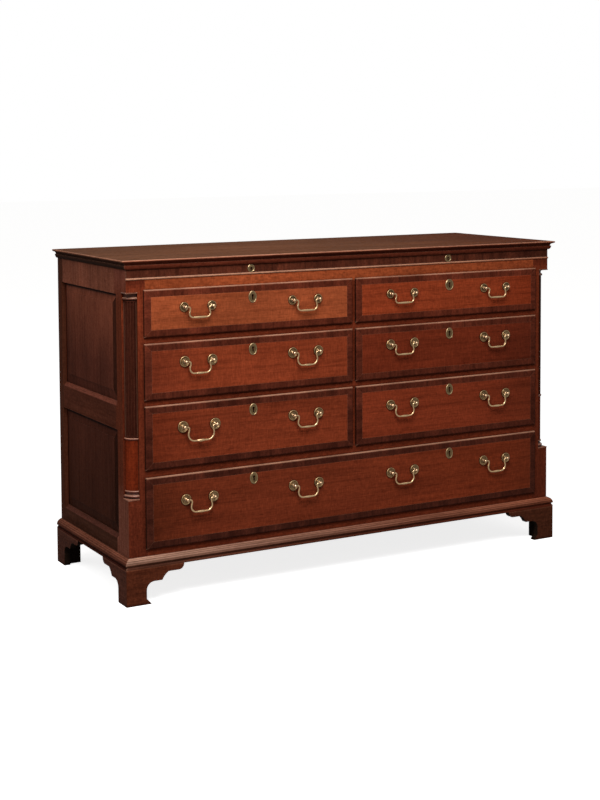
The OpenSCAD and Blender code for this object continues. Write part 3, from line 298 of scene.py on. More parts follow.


# %% Grime and painted shade, wear, painted highlights and pores
# The light tone of worn edges, also used for the painted highlight on faces that look up
WEAR_AND_HIGHLIGHT = (0.50, 0.26, 0.165, 1)
SOOT_AND_SHADE = (0.10, 0.06, 0.045)
DIRT_AND_SHADE_REACH = 0.017                              # grime and painted shade gather this near to a wall
EDGE_REACH = 0.0035                             # and hands wear this far in from an edge
ARRIS = 0.0012                                  # the radius to which edges are worn round
PORE_DEPTH = 0.0004


def aged(f, colour, clouds, dirt_and_shade, wear, top_highlight):
    """Paints shade and grime in corners, lightens worn edges, and paints a highlight on upward
    faces.
    """
    # Ambient Occlusion darkens corners and gaps, partly grime and partly painted shade.
    nook = f.add("AmbientOcclusion", {"Distance": DIRT_AND_SHADE_REACH}, samples=8).outputs["AO"]
    colour = f.tint(colour, dirt_and_shade, nook, [(0.30, SOOT_AND_SHADE), (0.90, PLAIN)])
    if wear:
        edge = f.add("AmbientOcclusion", {"Distance": EDGE_REACH}, samples=6, inside=True)
        worn = f.range(edge.outputs["AO"], 0.55, 0.30, 0.0, wear)
        colour = f.mix("MIX", worn, colour, WEAR_AND_HIGHLIGHT)
    # Faces that look up are painted lighter: a painted highlight along the tops of lips and
    # mouldings.
    if top_highlight:
        facing = f.add("SeparateXYZ", {0: f.add("TexCoord").outputs["Normal"]}).outputs["Z"]
        rubbed = f.maths("MULTIPLY", f.range(facing, 0.25, 0.8, 0.0, top_highlight),
                         f.range(clouds, 0.35, 0.6, 0.55, 1.0))
        colour = f.mix("MIX", rubbed, colour, WEAR_AND_HIGHLIGHT)
    return colour


def pored(f, streak, flecks, specks, hairs, roughness):
    """Sets roughness and bump from the noises of the grain."""
    dull = f.range(streak, 0.3, 0.7, roughness + 0.07, roughness - 0.05)
    dull = f.maths("ADD", dull, f.range(specks, 0.3, 0.7, 0.05, -0.05))
    f.put(f.shader.inputs["Roughness"], dull)
    height = f.maths("ADD", f.maths("MULTIPLY", streak, 0.5), f.range(hairs, 0.36, 0.46, 0, 0.7))
    height = f.maths("ADD", height, f.maths("MULTIPLY", flecks, 0.25))
    rounded = f.add("Bevel", {"Radius": ARRIS}, samples=4).outputs["Normal"]
    bump = f.add("Bump", {"Height": height, "Strength": 0.28, "Distance": PORE_DEPTH,
                          "Normal": rounded})
    f.put(f.shader.inputs["Normal"], bump.outputs["Normal"])


# %% The wood shader
def wood(name, grain, tones, seed=0.0, streaks=0.5, mottle=0.4, speckle=0.6, rays=0.4, pores=0.5,
         band=None, figure=0.8, stains=0.0, roughness=0.5, gloss=0.04, dirt_and_shade=0.8, wear=0.2,
         top_highlight=0.0, lines=None, fades=()):
    """Polished wood with its grain along x, y or z. tones are its dark, middle and light.

    A fade is an axis, the places where it starts and ends, and the tint that it ends in. lines
    is a function that gives one more colour to multiply by, such as the reeds of a moulding.
    """
    f = Finish(name)
    dark, middle, light = tones
    own = f.add("TexCoord").outputs["Object"]
    noise = grain_noise(f, own, grain, seed)
    clouds = noise(0.42, 0.11, 3, 0.5, 0.4)
    streak = noise(0.33, 0.011, 5, 0.62, 0.25)
    flecks = noise(0.024, 0.0085, 3, 0.6)
    specks = noise(0.0085, 0.0060, 2, 0.5)
    hairs = noise(0.045, 0.0014, 2, 0.6)
    colour = f.ramp(clouds, [(0.30, dark), (0.50, middle), (0.70, light)])
    colour = f.tint(colour, streaks, streak, STREAKED)
    colour = f.tint(colour, mottle, flecks, MOTTLED)
    colour = f.tint(colour, speckle, specks, SPECKLED)
    if rays:
        colour = f.tint(colour, rays, noise(0.0032, 0.021, 2, 0.5), RAYED)
    colour = f.tint(colour, pores, hairs, PORED)
    if band:
        colour = f.tint(colour, figure, noise(4.0, band, 4, 0.65), BANDED)
    if stains:
        colour = f.tint(colour, stains, noise(0.07, 0.045, 4, 0.6, 0.6), STAINED)
    for axis, first, last, tone in fades:
        run = f.range(f.add("SeparateXYZ", {0: own}).outputs[axis], first, last)
        colour = f.mix("MULTIPLY", run, colour, (*tone, 1))
    if lines:
        colour = f.mix("MULTIPLY", 1.0, colour, lines(f, own))
    f.put(f.shader.inputs["Base Color"], aged(f, colour, clouds, dirt_and_shade, wear, top_highlight))
    pored(f, streak, flecks, specks, hairs, roughness)
    f.shader.inputs["Specular IOR Level"].default_value = gloss
    return f.material


# %% [markdown]
# ## Which faces are which board
# A loaded node can hold several boards, such as the five rails of the front. Its mesh is loose
# triangles, so the boards are found again by joining triangles that share a corner. Each board
# then gets the wood whose grain runs along its longest side, as a joiner would cut it. The other
# way is a node for each board, but the boards of one frame belong together.

# %% Find the solids in a node
KEYS_PER_METRE = 2e5                            # corners within 5 micrometres are one corner


def solids(node_object):
    """Faces and box of each separate solid in a mesh of loose triangles."""
    mesh = node_object.data
    corners = np.empty(len(mesh.vertices) * 3)
    mesh.vertices.foreach_get("co", corners)
    corners = corners.reshape(-1, 3)
    keys = np.rint(corners * KEYS_PER_METRE).astype(int)
    same = {}
    owner = [same.setdefault(tuple(key), n) for n, key in enumerate(keys)]

    def root(n):
        while owner[n] != n:
            owner[n] = owner[owner[n]]
            n = owner[n]
        return n

    for face in mesh.polygons:
        first = root(face.vertices[0])
        for other in face.vertices[1:]:
            owner[root(other)] = first
    found = {}
    for face in mesh.polygons:
        found.setdefault(root(face.vertices[0]), []).append(face.index)
    result = []
    for faces in found.values():
        used = corners[sorted({v for n in faces for v in mesh.polygons[n].vertices})]
        result.append((faces, used.min(axis=0), used.max(axis=0)))
    return result


def dress(node_name, choose):
    """Gives each solid of a node the material that choose(low, high) returns."""
    node_object = NODES[node_name]
    mesh = node_object.data
    slots = []
    index = np.zeros(len(mesh.polygons), dtype=int)
    for faces, low, high in solids(node_object):
        material = choose(low, high)
        if material not in slots:
            slots.append(material)
        index[faces] = slots.index(material)
    mesh.materials[0] = slots[0]
    for material in slots[1:]:
        mesh.materials.append(material)
    mesh.polygons.foreach_set("material_index", index)
    mesh.update()
    return len(slots)


def longest(low, high):
    """The axis along which a solid is longest."""
    return "xyz"[int(np.argmax(high - low))]


def repaint(node_name, material, wanted):
    """Gives material to the faces that wanted(normals, middles) marks."""
    mesh = NODES[node_name].data
    count = len(mesh.polygons)
    normals, middles = np.empty(count * 3), np.empty(count * 3)
    index = np.empty(count, dtype=int)
    mesh.polygons.foreach_get("normal", normals)
    mesh.polygons.foreach_get("center", middles)
    mesh.polygons.foreach_get("material_index", index)
    normals, middles = normals.reshape(-1, 3), middles.reshape(-1, 3)
    marked = wanted(normals, middles)
    mesh.materials.append(material)
    index[marked] = len(mesh.materials) - 1
    mesh.polygons.foreach_set("material_index", index)
    mesh.update()
    return int(marked.sum())


# %% [markdown]
# ## Rails, muntins and posts
# The frame is a reddish brown oak. Its front faces are the warmest, while the ends of the chest
# are a dull dark brown, partly from duller polish and partly as a painted shade, since the ends
# get less light than the front. So a corner post has one wood to the front and another to the
# side. The timber is the same, so the posts stay one piece and only their faces are painted apart.
# Each grain direction is one material, shared by the boards that run that way.

# %% Dress the rails and muntins
def around(red, green, blue, spread=0.16):
    """The dark, middle and light tone of a wood round its usual colour."""
    return tuple((red * k, green * k, blue * k) for k in (1 - spread, 1, 1 + spread))


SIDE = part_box("corner_posts")[HIGH][X]
CARCASS_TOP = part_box("corner_posts")[HIGH][Z]
TONE_AND_SHADE_DOWNWARDS = ("Z", 0.95, 0.20)                   # darker from the top to the foot: partly tone, partly painted shade

FRAME_OAK = around(0.150, 0.026, 0.0095)
SHADED_SIDE_OAK = around(0.057, 0.0175, 0.0085, 0.24)
MIDDLE_OAK = around(0.088, 0.0235, 0.0120, 0.24)
TOP_OAK = around(0.300, 0.062, 0.0195)

frame_oak = {axis: wood(f"frame_oak_{axis}", axis, FRAME_OAK, seed=3.1) for axis in "xz"}
top_rail_oak = wood("top_rail_oak", "x", TOP_OAK, seed=2.2)
# The side woods are darker than the front ones: partly duller polish, partly painted shade.
shaded_side_oak = wood("shaded_side_oak_y", "y", SHADED_SIDE_OAK, seed=5.3, gloss=0.01, speckle=0.35, pores=0.25)
middle_rail_oak = wood("middle_rail_oak", "y", MIDDLE_OAK, seed=5.9, gloss=0.01, speckle=0.4)
side_band = wood("side_crossband", "z", around(0.190, 0.060, 0.034, 0.2), seed=7.7, band=0.03,
                 figure=0.4, gloss=0.01, speckle=0.4)
TOP_RAILS_ABOVE, MIDDLE_RAILS_ABOVE = 0.8, 0.4  # heights between the rails


def front_rail_wood(low, high):
    return top_rail_oak if high[Z] > CARCASS_TOP - 0.01 else frame_oak[longest(low, high)]


def side_wood(low, high):
    """The crossbanded top rail has its grain upright, the others run along the board."""
    if low[Z] > TOP_RAILS_ABOVE:
        return side_band
    return middle_rail_oak if low[Z] > MIDDLE_RAILS_ABOVE else shaded_side_oak


print("woods of the side rails", dress("side_rails", side_wood), "and the front rails",
      dress("front_rails", front_rail_wood), "and the muntins",
      dress("front_muntins", lambda low, high: frame_oak["z"]))

# %% Dress the posts
# Besides the painted shade from top to foot, a post is darker or lighter above and below its column
post_front = wood("post_front_oak", "z", around(0.160, 0.028, 0.0102), seed=2.7, wear=0.0,
                  fades=[(*TONE_AND_SHADE_DOWNWARDS, (0.74, 0.76, 0.86)), ("Z", 0.935, 0.96, (0.57, 0.54, 0.57))])
# The post's side is darker than its front: partly duller polish, partly painted shade.
shaded_post_side = wood("post_side_oak_shaded", "z", around(0.168, 0.048, 0.029), seed=3.6, gloss=0.01,
                 speckle=0.4, pores=0.25, wear=0.0,
                 fades=[("Z", 0.98, 0.90, (0.62, 0.48, 0.34)),
                        ("Z", 0.36, 0.30, (1.55, 2.25, 3.2))])
post_rear = wood("rear_post_oak", "z", around(0.062, 0.018, 0.009), seed=3.9, gloss=0.01,
                 speckle=0.3, pores=0.25, wear=0.0)
dress("corner_posts", lambda low, high: shaded_post_side if low[Y] < 0 else post_rear)
print("front faces of the posts", repaint("corner_posts", post_front, lambda n, m: n[:, Y] < -0.7))

# %% [markdown]
# ## Side panels
# A fielded panel has a flat middle and bevels that slope into the grooves of its frame. The
# bevels under a rail and beside the rear post lie in shadow, and that shade is painted on as dark
# bands. Ambient Occlusion would darken all edges of a panel alike, so ramps over its height and
# depth paint the shade where it lies. The bevel that looks to the front gets a dark wood of its
# own, a painted shade, and the upper bevels of the rails get a light one, a painted highlight.

# %% Dress the panels
LINES_FOOT, LINES_HEAD = 0.50, 0.93             # the heights between which the painted shade lies
LINES_FRONT, LINES_REAR = 0.15, 0.25            # and the depths
# The tint of the painted shade under the rails and beside the rear post
PANEL_SHADE = (0.16, 0.20, 0.26)


def panel_shade_lines(f, own):
    """Paints shade on a panel under the rail above it and along its rear post."""
    parts = f.add("SeparateXYZ", {0: own}).outputs
    under = f.ramp(f.range(parts["Z"], LINES_FOOT, LINES_HEAD),
                   [(0.0, PLAIN), (0.006, PLAIN), (0.020, PANEL_SHADE), (0.10, PANEL_SHADE), (0.14, PLAIN),
                    (0.960, PLAIN), (0.974, PANEL_SHADE)])
    beside = f.ramp(f.range(parts["Y"], LINES_FRONT, LINES_REAR),
                    [(0.0, PLAIN), (0.91, PLAIN), (0.98, PANEL_SHADE)])
    return f.mix("MULTIPLY", 1.0, under, beside)


# The panel is painted darker downwards, a painted shade for the light that falls from above.
panel_oak = wood("panel_oak", "z", around(0.184, 0.051, 0.027, 0.22), seed=6.1, gloss=0.01,
                 speckle=0.3, rays=0.15, pores=0.2, stains=0.3, lines=panel_shade_lines,
                 fades=[("Z", 0.93, 0.70, (0.44, 0.42, 0.46)),
                        ("Z", 0.70, 0.20, (0.48, 0.46, 0.34))])
# The bevel that looks to the front is painted dark, a painted shade.
panel_bevel_shade = wood("panel_front_bevel_shade", "z", around(0.048, 0.014, 0.008), seed=6.3, gloss=0.01,
                   speckle=0.3, rays=0.0, fades=[(*TONE_AND_SHADE_DOWNWARDS, (0.40, 0.45, 0.5))])
# The upper bevels of the rails are painted light, a painted highlight.
rail_bevel_highlight = wood("rail_upper_bevel_highlight", "y", around(0.126, 0.033, 0.018), seed=5.1, gloss=0.02,
                  rays=0.0, wear=0.0, fades=[("Z", 0.50, 0.25, (0.55, 0.58, 0.60))])
RAIL_THICK = 0.022

dress("side_panels", lambda low, high: panel_oak)
print("front bevels of the panels", repaint(
    "side_panels", panel_bevel_shade, lambda n, m: (n[:, Y] < -0.04) & (abs(n[:, X]) > 0.3)))
print("upper bevels of the side rails", repaint(
    "side_rails", rail_bevel_highlight,
    lambda n, m: (n[:, Z] > 0.3) & (n[:, Z] < 0.95) & (abs(m[:, X]) > SIDE - RAIL_THICK + 0.0005)))

# %% [markdown]
# ## Columns
# A quarter column is turned as a whole column and sawn in four. Its plain lower part is handled
# and bright red, and the flutes above have filled with dark wax. The rings and plates at its ends
# show a light line, partly edge wear and partly a painted highlight on what faces up, and the
# bottom plate is painted light.

# %% Dress the columns
PLATE, CAP = 0.0036, 0.022                      # the heights of the foot's plate and of the cap
COLUMN_LOW, COLUMN_HIGH = (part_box("corner_columns")[end][Z] for end in (LOW, HIGH))
SHAFT_LOW, RING_LOW, RING_HIGH = (COLUMN_LOW + h for h in (0.029, 0.179, 0.185))

column_dark = wood("column_mahogany", "z", around(0.054, 0.0125, 0.0065), seed=4.4, wear=0.12,
                   dirt_and_shade=0.9, gloss=0.03)
column_red = wood("column_shaft", "z", around(0.140, 0.018, 0.0045), seed=8.8, gloss=0.04)
column_ring = wood("column_rings", "z", around(0.125, 0.029, 0.015), seed=1.9, wear=0.3,
                   dirt_and_shade=1.0, top_highlight=0.6, gloss=0.30, roughness=0.28)
cap_wood = wood("column_cap", "x", around(0.110, 0.030, 0.015), seed=1.7, wear=0.5, top_highlight=0.7,
                gloss=0.25, roughness=0.35)
# The bottom plate is painted light, a painted highlight.
lit_plate_wood = wood("column_plates_lit", "x", around(0.30, 0.125, 0.080), seed=1.4, dirt_and_shade=0.6)

dress("corner_columns", lambda low, high: column_dark)
for material, wanted in (
        (column_red, lambda n, m: (m[:, Z] > SHAFT_LOW) & (m[:, Z] < RING_LOW)),
        (column_ring, lambda n, m: (m[:, Z] <= SHAFT_LOW) & (m[:, Z] > COLUMN_LOW + PLATE)),
        (column_ring, lambda n, m: (m[:, Z] >= RING_LOW) & (m[:, Z] <= RING_HIGH)),
        (lit_plate_wood, lambda n, m: m[:, Z] <= COLUMN_LOW + PLATE),
        (cap_wood, lambda n, m: m[:, Z] >= COLUMN_HIGH - CAP)):
    print(material.name, "faces", repaint("corner_columns", material, wanted))

# %% [markdown]
# ## Lid and frieze
# The lid is a greyish brown, greyest at its left end; the grey is partly bleaching and partly a
# painted sheen. The thin line of light along its edges is a painted highlight. The frieze under it
# is crossbanded in mahogany, with a light half-round bead along its foot, whose upper face is
# painted lighter still as a highlight.

# %% Dress the lid and the frieze
LID_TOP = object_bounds()[HIGH][Z]
BEAD_HEIGHT = 0.02                              # what is lower than this in the frieze is bead

# The lid's grey is partly bleaching and partly a painted sheen, with little gloss of its own.
lid_oak = wood("lid_oak", "x", around(0.134, 0.047, 0.0185, 0.2), seed=9.4, streaks=0.8,
               roughness=0.6, gloss=0.01, speckle=0.35, wear=0.05,
               fades=[("X", -0.1, -0.8, (0.78, 0.83, 0.90)), ("X", 0.1, 0.8, (0.66, 0.36, 0.08))])
# The top band of each edge moulding is painted light, a painted highlight.
lid_front = wood("lid_edge_front", "x", around(0.130, 0.026, 0.012), seed=9.9, wear=0.1,
                 top_highlight=0.8, fades=[("Z", LID_TOP - 0.0042, LID_TOP - 0.0028, (2.0, 3.2, 3.8))])
# The side moulding is darker than the front one, partly a painted shade, and darker lower down.
shaded_lid_side = wood("lid_edge_side_shaded", "y", around(0.066, 0.025, 0.015), seed=9.7, wear=0.1,
                top_highlight=0.4, gloss=0.01,
                fades=[("Z", LID_TOP - 0.0060, LID_TOP - 0.0038, (2.5, 2.5, 2.3)),
                       ("Z", LID_TOP - 0.0150, LID_TOP - 0.0210, (0.45, 0.5, 0.5))])
frieze_wood = wood("frieze_crossband", "z", around(0.073, 0.0178, 0.0088, 0.25), seed=8.1,
                   band=0.022)
bead_wood = wood("frieze_bead", "x", around(0.36, 0.165, 0.10), seed=8.6, top_highlight=0.7, dirt_and_shade=1.0,
                 fades=[("X", 0.0, 0.8, (0.86, 0.58, 0.46))])

dress("lid_board", lambda low, high: lid_oak)
dress("lid_moulding", lambda low, high: {"x": lid_front, "y": shaded_lid_side}[longest(low, high)])
dress("frieze", lambda low, high: bead_wood if high[Z] - low[Z] <= BEAD_HEIGHT else frieze_wood)
print("top of the lid's moulding", repaint(
    "lid_moulding", lid_oak, lambda n, m: (n[:, Z] > 0.99) & (m[:, Z] > LID_TOP - 0.0005)))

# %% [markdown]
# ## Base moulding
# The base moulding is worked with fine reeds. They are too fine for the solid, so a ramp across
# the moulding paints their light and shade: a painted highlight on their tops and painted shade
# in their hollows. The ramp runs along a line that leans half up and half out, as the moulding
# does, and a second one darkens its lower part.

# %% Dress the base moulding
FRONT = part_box("corner_posts")[LOW][Y]
FOOT_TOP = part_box("front_feet")[HIGH][Z]
MOULDING_TOP = FOOT_TOP + 0.032
REEDS_UP, REEDS_OUT = 0.012, 0.016              # where the lowest reed lies above and outside
# Painted highlights on the tops of the reeds and painted shade in their hollows
REED_LIGHT_AND_SHADE = [(0.00, 0.40), (0.10, 1.15), (0.22, 0.50), (0.34, 1.30), (0.46, 0.55), (0.60, 1.55),
         (0.70, 0.60), (0.84, 1.80), (0.93, 0.55), (1.00, 1.50)]
LOWER_PART = [(0.0, (1.0, 0.62, 0.50)), (0.32, (1.0, 0.62, 0.50)), (0.42, (0.52, 0.38, 0.32)),
              (0.66, PLAIN)]


def reeds(axis, face):
    """A function that paints the reeds' light and shade on a moulding facing along axis."""
    def colour(f, own):
        parts = f.add("SeparateXYZ", {0: own}).outputs
        run = f.maths("SUBTRACT", parts["Z"], f.maths("ABSOLUTE", parts[axis], 0.0))
        across = f.range(run, FOOT_TOP + REEDS_UP - face - REEDS_OUT, MOULDING_TOP - face)
        reed_shading = f.ramp(across, [(place, (k, k * 1.02, k * 1.04)) for place, k in REED_LIGHT_AND_SHADE])
        height = f.range(parts["Z"], FOOT_TOP, MOULDING_TOP)
        return f.mix("MULTIPLY", 1.0, reed_shading, f.ramp(height, LOWER_PART))
    return colour


moulding_front = wood("base_moulding_front", "x", around(0.285, 0.150, 0.102), seed=3.8,
                      streaks=0.9, mottle=0.2, speckle=0.3, rays=0.0, dirt_and_shade=0.25,
                      lines=reeds("Y", -FRONT), fades=[("X", -0.70, 0.10, (0.70, 0.50, 0.44)),
                                                       ("X", 0.10, 0.80, (1.0, 0.80, 0.68))])
# The side moulding is darker than the front one, partly a painted shade.
shaded_moulding_side = wood("base_moulding_side_shaded", "y", around(0.114, 0.036, 0.020), seed=4.2, gloss=0.01,
                     rays=0.0, dirt_and_shade=0.8, lines=reeds("X", SIDE))


def moulding_wood(low, high):
    return {"x": moulding_front, "y": shaded_moulding_side}[longest(low, high)]


print("woods of the base moulding", dress("base_moulding", moulding_wood), "reeds",
      len(REED_LIGHT_AND_SHADE) // 2)

# %% [markdown]
# ## Feet
# The bracket feet are dark outside, and inside they are painted nearly black, a painted shade. So
# each foot is dressed as if all of it were inside, and then its outer faces are painted. A thin
# light line runs along the top.

# %% Dress the feet
FOOT_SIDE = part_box("front_feet")[HIGH][X]
TOP_LINE = ("Z", FOOT_TOP - 0.0045, FOOT_TOP - 0.0020)
TO_THE_RIGHT = ("X", -0.8, 0.8)

foot_front = wood("foot_front", "x", around(0.098, 0.023, 0.0095, 0.25), seed=5.9, stains=0.5,
                  wear=0.0, fades=[(*TO_THE_RIGHT, (0.62, 0.72, 0.80)),
                                   (*TOP_LINE, (1.6, 1.9, 2.1))])
# The outer side faces are darker than the front, partly a painted shade.
shaded_foot_side = wood("shaded_foot_side", "y", around(0.066, 0.018, 0.009), seed=6.9, gloss=0.02, stains=0.4,
                 wear=0.0, fades=[(*TOP_LINE, (1.6, 1.8, 1.9))])
# The insides are painted nearly black, a painted shade.
foot_inside_shade = wood("foot_inside_shade", "y", around(0.016, 0.009, 0.006), seed=7.9, gloss=0.02, wear=0)


def outer_side(n, m):
    """Faces that look away from the chest's middle, on the brackets at its sides."""
    return (n[:, X] * m[:, X] > 0.7 * abs(m[:, X])) & (abs(m[:, X]) > FOOT_SIDE - 0.006)


for name in ("front_feet", "rear_feet"):
    dress(name, lambda low, high: foot_inside_shade)
    print("side faces of the", name, repaint(name, shaded_foot_side, outer_side))
repaint("front_feet", foot_front,
        lambda n, m: (n[:, Y] < -0.9) & (m[:, Y] < m[:, Y].min() + 0.001))
repaint("rear_feet", shaded_foot_side, lambda n, m: (n[:, Y] > 0.9) & (m[:, Y] > m[:, Y].max() - 0.001))

# %% [markdown]
# ## Drawer fronts
# A drawer front is an oak board with a mahogany edging whose grain runs across its length. The
# upper row is a light orange, and the rows below are darker and redder, partly in their own tone
# and partly as a painted shade for the light that falls off down the front. So each front has its
# own oak, and the edging is shared.

# %% Dress the drawer fronts
TO_LEFT_END = ("X", -0.54, -0.70)
TO_RIGHT_END = ("X", 0.50, 0.70)
# The lower rows are darker, partly in tone and partly a painted shade.
ROW_OAK = {
    "1_left": (around(0.305, 0.067, 0.023), []),
    "1_right": (around(0.262, 0.042, 0.0135), [(*TO_RIGHT_END, (0.82, 0.74, 0.70))]),
    "2_left": (around(0.236, 0.0405, 0.014), [(*TO_LEFT_END, (0.80, 0.80, 0.88))]),
    "2_right": (around(0.153, 0.0235, 0.0085), [(*TO_RIGHT_END, (0.85, 0.90, 1.0))]),
    "3_left": (around(0.205, 0.035, 0.0125), [(*TO_LEFT_END, (0.68, 0.64, 0.60))]),
    "3_right": (around(0.215, 0.0345, 0.0125), [(*TO_RIGHT_END, (0.80, 0.85, 0.9))]),
    "4": (around(0.168, 0.029, 0.0105), [(*TO_LEFT_END, (0.66, 0.72, 0.70)),
                                         ("X", 0.0, 0.4, (1.22, 1.16, 1.08)),
                                         ("X", 0.55, 0.72, (0.80, 0.85, 0.9))]),
}
EDGING_WIDTH = 0.045
ROWS_ABOVE = (0.78, 0.60, 0.39)                 # the heights above which rows 1, 2 and 3 lie

field_oak = {key: wood(f"field_oak_{key}", "x", tones, seed=11.0 + 1.9 * n, stains=0.3,
                       streaks=0.6, mottle=0.2, speckle=0.28, rays=0.5, fades=fades)
             for n, (key, (tones, fades)) in enumerate(ROW_OAK.items())}
edging = {axis: wood(f"crossband_{axis}", axis, around(0.113, 0.0225, 0.0105, 0.24), seed=6.6,
                     band=0.04, mottle=0.2, rays=0.0, top_highlight=0.7,
                     fades=[(*TONE_AND_SHADE_DOWNWARDS, (0.50, 0.62, 0.75))])
          for axis in "xz"}


def front_wood(low, high):
    """The board's own oak, or for a narrow strip the edging with its grain across."""
    width, height = high[X] - low[X], high[Z] - low[Z]
    if min(width, height) < EDGING_WIDTH:
        return edging["z" if width > height else "x"]
    middle_x, middle_z = (low[X] + high[X]) / 2, (low[Z] + high[Z]) / 2
    row = 1 + sum(middle_z <= foot for foot in ROWS_ABOVE)
    side = "" if row == 4 else "_left" if middle_x < 0 else "_right"
    return field_oak[f"{row}{side}"]


# The sides of the drawer lips are painted nearly black, a painted shade for the gap beside them.
lip_side_shade = wood("lip_side_shade", "z", around(0.020, 0.008, 0.005), seed=6.9, wear=0.3, gloss=0.01)
for name in ("false_fronts", "left_drawer_front", "right_drawer_front", "long_drawer_front"):
    print(name, "woods", dress(name, front_wood), "lip sides", repaint(
        name, lip_side_shade, lambda n, m: abs(n[:, X]) > 0.9))

# %% [markdown]
# ## Inside woods
# What only shows when a drawer is out or the lid up was never polished: pale oak linings in the
# drawers, and pine for the back, the floor and the runners.

# %% Dress the insides
LINING = ((0.20, 0.11, 0.055), (0.30, 0.175, 0.09), (0.40, 0.24, 0.13))
PINE = ((0.22, 0.12, 0.055), (0.33, 0.19, 0.09), (0.44, 0.27, 0.14))
lining_oak = {axis: wood(f"lining_oak_{axis}", axis, LINING, seed=1.3, roughness=0.62,
                         speckle=0.25, wear=0.0) for axis in "xy"}
pine = {axis: wood(f"pine_{axis}", axis, PINE, seed=4.7, roughness=0.66, speckle=0.2, rays=0.0,
                   wear=0.0, streaks=0.8, pores=0.2) for axis in "xyz"}
for drawer in ("left_drawer", "right_drawer", "long_drawer"):
    for piece in ("sides", "back", "bottom"):
        dress(f"{drawer}_{piece}", lambda low, high: lining_oak[longest(low, high)])
for name in ("back_boards", "chest_floor", "runners_and_bearers", "rear_rails"):
    print(name, "woods", dress(name, lambda low, high: pine[longest(low, high)]))

# %% [markdown]
# ## Metals
# Old brass is bright where fingers and cloths reach and brown where they don't. The roses are
# dished, so their rims shine, and their middles are tarnished and painted nearly black, partly a
# painted shadow of the post, while the bails are rubbed all over. Ambient Occlusion tells the high
# places from the hollows, and each metal says how far it looks for a wall. The locks are of duller
# brass, and the hinges of dark iron. The two brasses of the keyhole plates are mixed here as well.

# %% Mix the metals
def metal(name, bright, dark, roughness=0.3, tarnish=0.5, pits=0.2, reach=0.005,
          hollow=(0.45, 0.95)):
    """Worn metal: bright where it is rubbed, dark where it is less open than hollow says."""
    f = Finish(name)
    own = f.add("TexCoord").outputs["Object"]
    clouds = f.add("TexNoise", {"Vector": own, "Scale": 85.0, "Detail": 4.0}).outputs["Fac"]
    grains = f.add("TexNoise", {"Vector": own, "Scale": 900.0, "Detail": 2.0}).outputs["Fac"]
    nook = f.add("AmbientOcclusion", {"Distance": reach}, samples=8).outputs["AO"]
    rubbed = f.range(nook, *hollow)
    patchy = f.range(clouds, 0.30, 0.62, 1.0 - tarnish, 1.0)
    colour = f.mix("MIX", f.maths("MULTIPLY", rubbed, patchy), (*dark, 1), (*bright, 1))
    f.put(f.shader.inputs["Base Color"], colour)
    f.put(f.shader.inputs["Roughness"],
          f.maths("ADD", f.range(clouds, 0.3, 0.7, roughness + 0.14, roughness - 0.06),
                  f.range(rubbed, 0.0, 1.0, 0.2, 0.0)))
    bump = f.add("Bump", {"Height": f.maths("ADD", clouds, f.maths("MULTIPLY", grains, 0.4)),
                          "Strength": pits, "Distance": 0.0004})
    f.put(f.shader.inputs["Normal"], bump.outputs["Normal"])
    f.shader.inputs["Metallic"].default_value = 1.0
    return f.material


bail_brass = metal("bail_brass", (0.79, 0.55, 0.30), (0.16, 0.080, 0.03), roughness=0.30,
                   tarnish=0.25, pits=0.1)
# The rose's nearly black middle is tarnish and partly a painted shadow of the post.
rose_brass = metal("rose_brass", (0.50, 0.33, 0.165), (0.026, 0.013, 0.005), roughness=0.34,
                   tarnish=0.45, reach=0.010, hollow=(0.62, 0.97))
post_brass = metal("post_brass", (0.74, 0.50, 0.30), (0.05, 0.026, 0.010), roughness=0.26,
                   tarnish=0.35, pits=0.1, reach=0.006, hollow=(0.40, 0.95))
plate_brass = metal("plate_brass", (0.43, 0.30, 0.158), (0.040, 0.022, 0.008), roughness=0.36,
                    tarnish=0.45, reach=0.004, hollow=(0.55, 0.97))
plate_hollow = metal("plate_hollow", (0.27, 0.18, 0.085), (0.028, 0.015, 0.006), roughness=0.42,
                     tarnish=0.55, pits=0.4, reach=0.004, hollow=(0.50, 0.97))
lock_metal = metal("lock_metal", (0.30, 0.22, 0.12), (0.05, 0.035, 0.02), roughness=0.42)
hinge_iron = metal("hinge_iron", (0.085, 0.075, 0.07), (0.03, 0.022, 0.018), roughness=0.5,
                   tarnish=0.6, pits=0.5)
ROSE_WIDTH = 0.02


def mount_metal(low, high):
    """A rose is wide and thin, while a post and its nut are narrow."""
    return rose_brass if high[X] - low[X] > ROSE_WIDTH else post_brass


for name, node_object in NODES.items():
    if "handle_mounts" in name:
        dress(name, mount_metal)
    elif name.startswith("bail_"):
        node_object.data.materials[0] = bail_brass
    elif "lock" in name or "staples" in name:
        node_object.data.materials[0] = lock_metal
    elif "hinge" in name:
        node_object.data.materials[0] = hinge_iron
print("bails", sum(name.startswith("bail_") for name in NODES))

# %% [markdown]
# ## Keyhole plates
# A keyhole plate is a thin oval of cast brass with a raised bead round it and a slightly domed
# middle, held by two brass pins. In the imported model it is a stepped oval, which looks flat from
# near by. Here a filled circle is stretched to an oval, extruded to the plate's edge, and inset
# again and again: out and up to the bead, over it, down into the hollow and up to the dome. The
# keyhole is cut with a Boolean modifier, because its round head and straight foot cross the
# rings of the insets. It could also be built into the rings, at the price of a messier mesh.

# %% Helpers for shaping a piece in edit mode
def active():
    return bpy.context.object


def new_round(points, radius):
    """A filled circle of that many points, open for editing."""
    bpy.ops.object.select_all(action="DESELECT")
    bpy.ops.mesh.primitive_circle_add(vertices=points, radius=radius, fill_type="NGON",
                                      location=(0, 0, 0))
    bpy.ops.object.mode_set(mode="EDIT")
    bpy.ops.mesh.select_all(action="SELECT")
    return active()


def extrude(x, y, z):
    bpy.ops.mesh.extrude_region_move(TRANSFORM_OT_translate={"value": (x, y, z)})


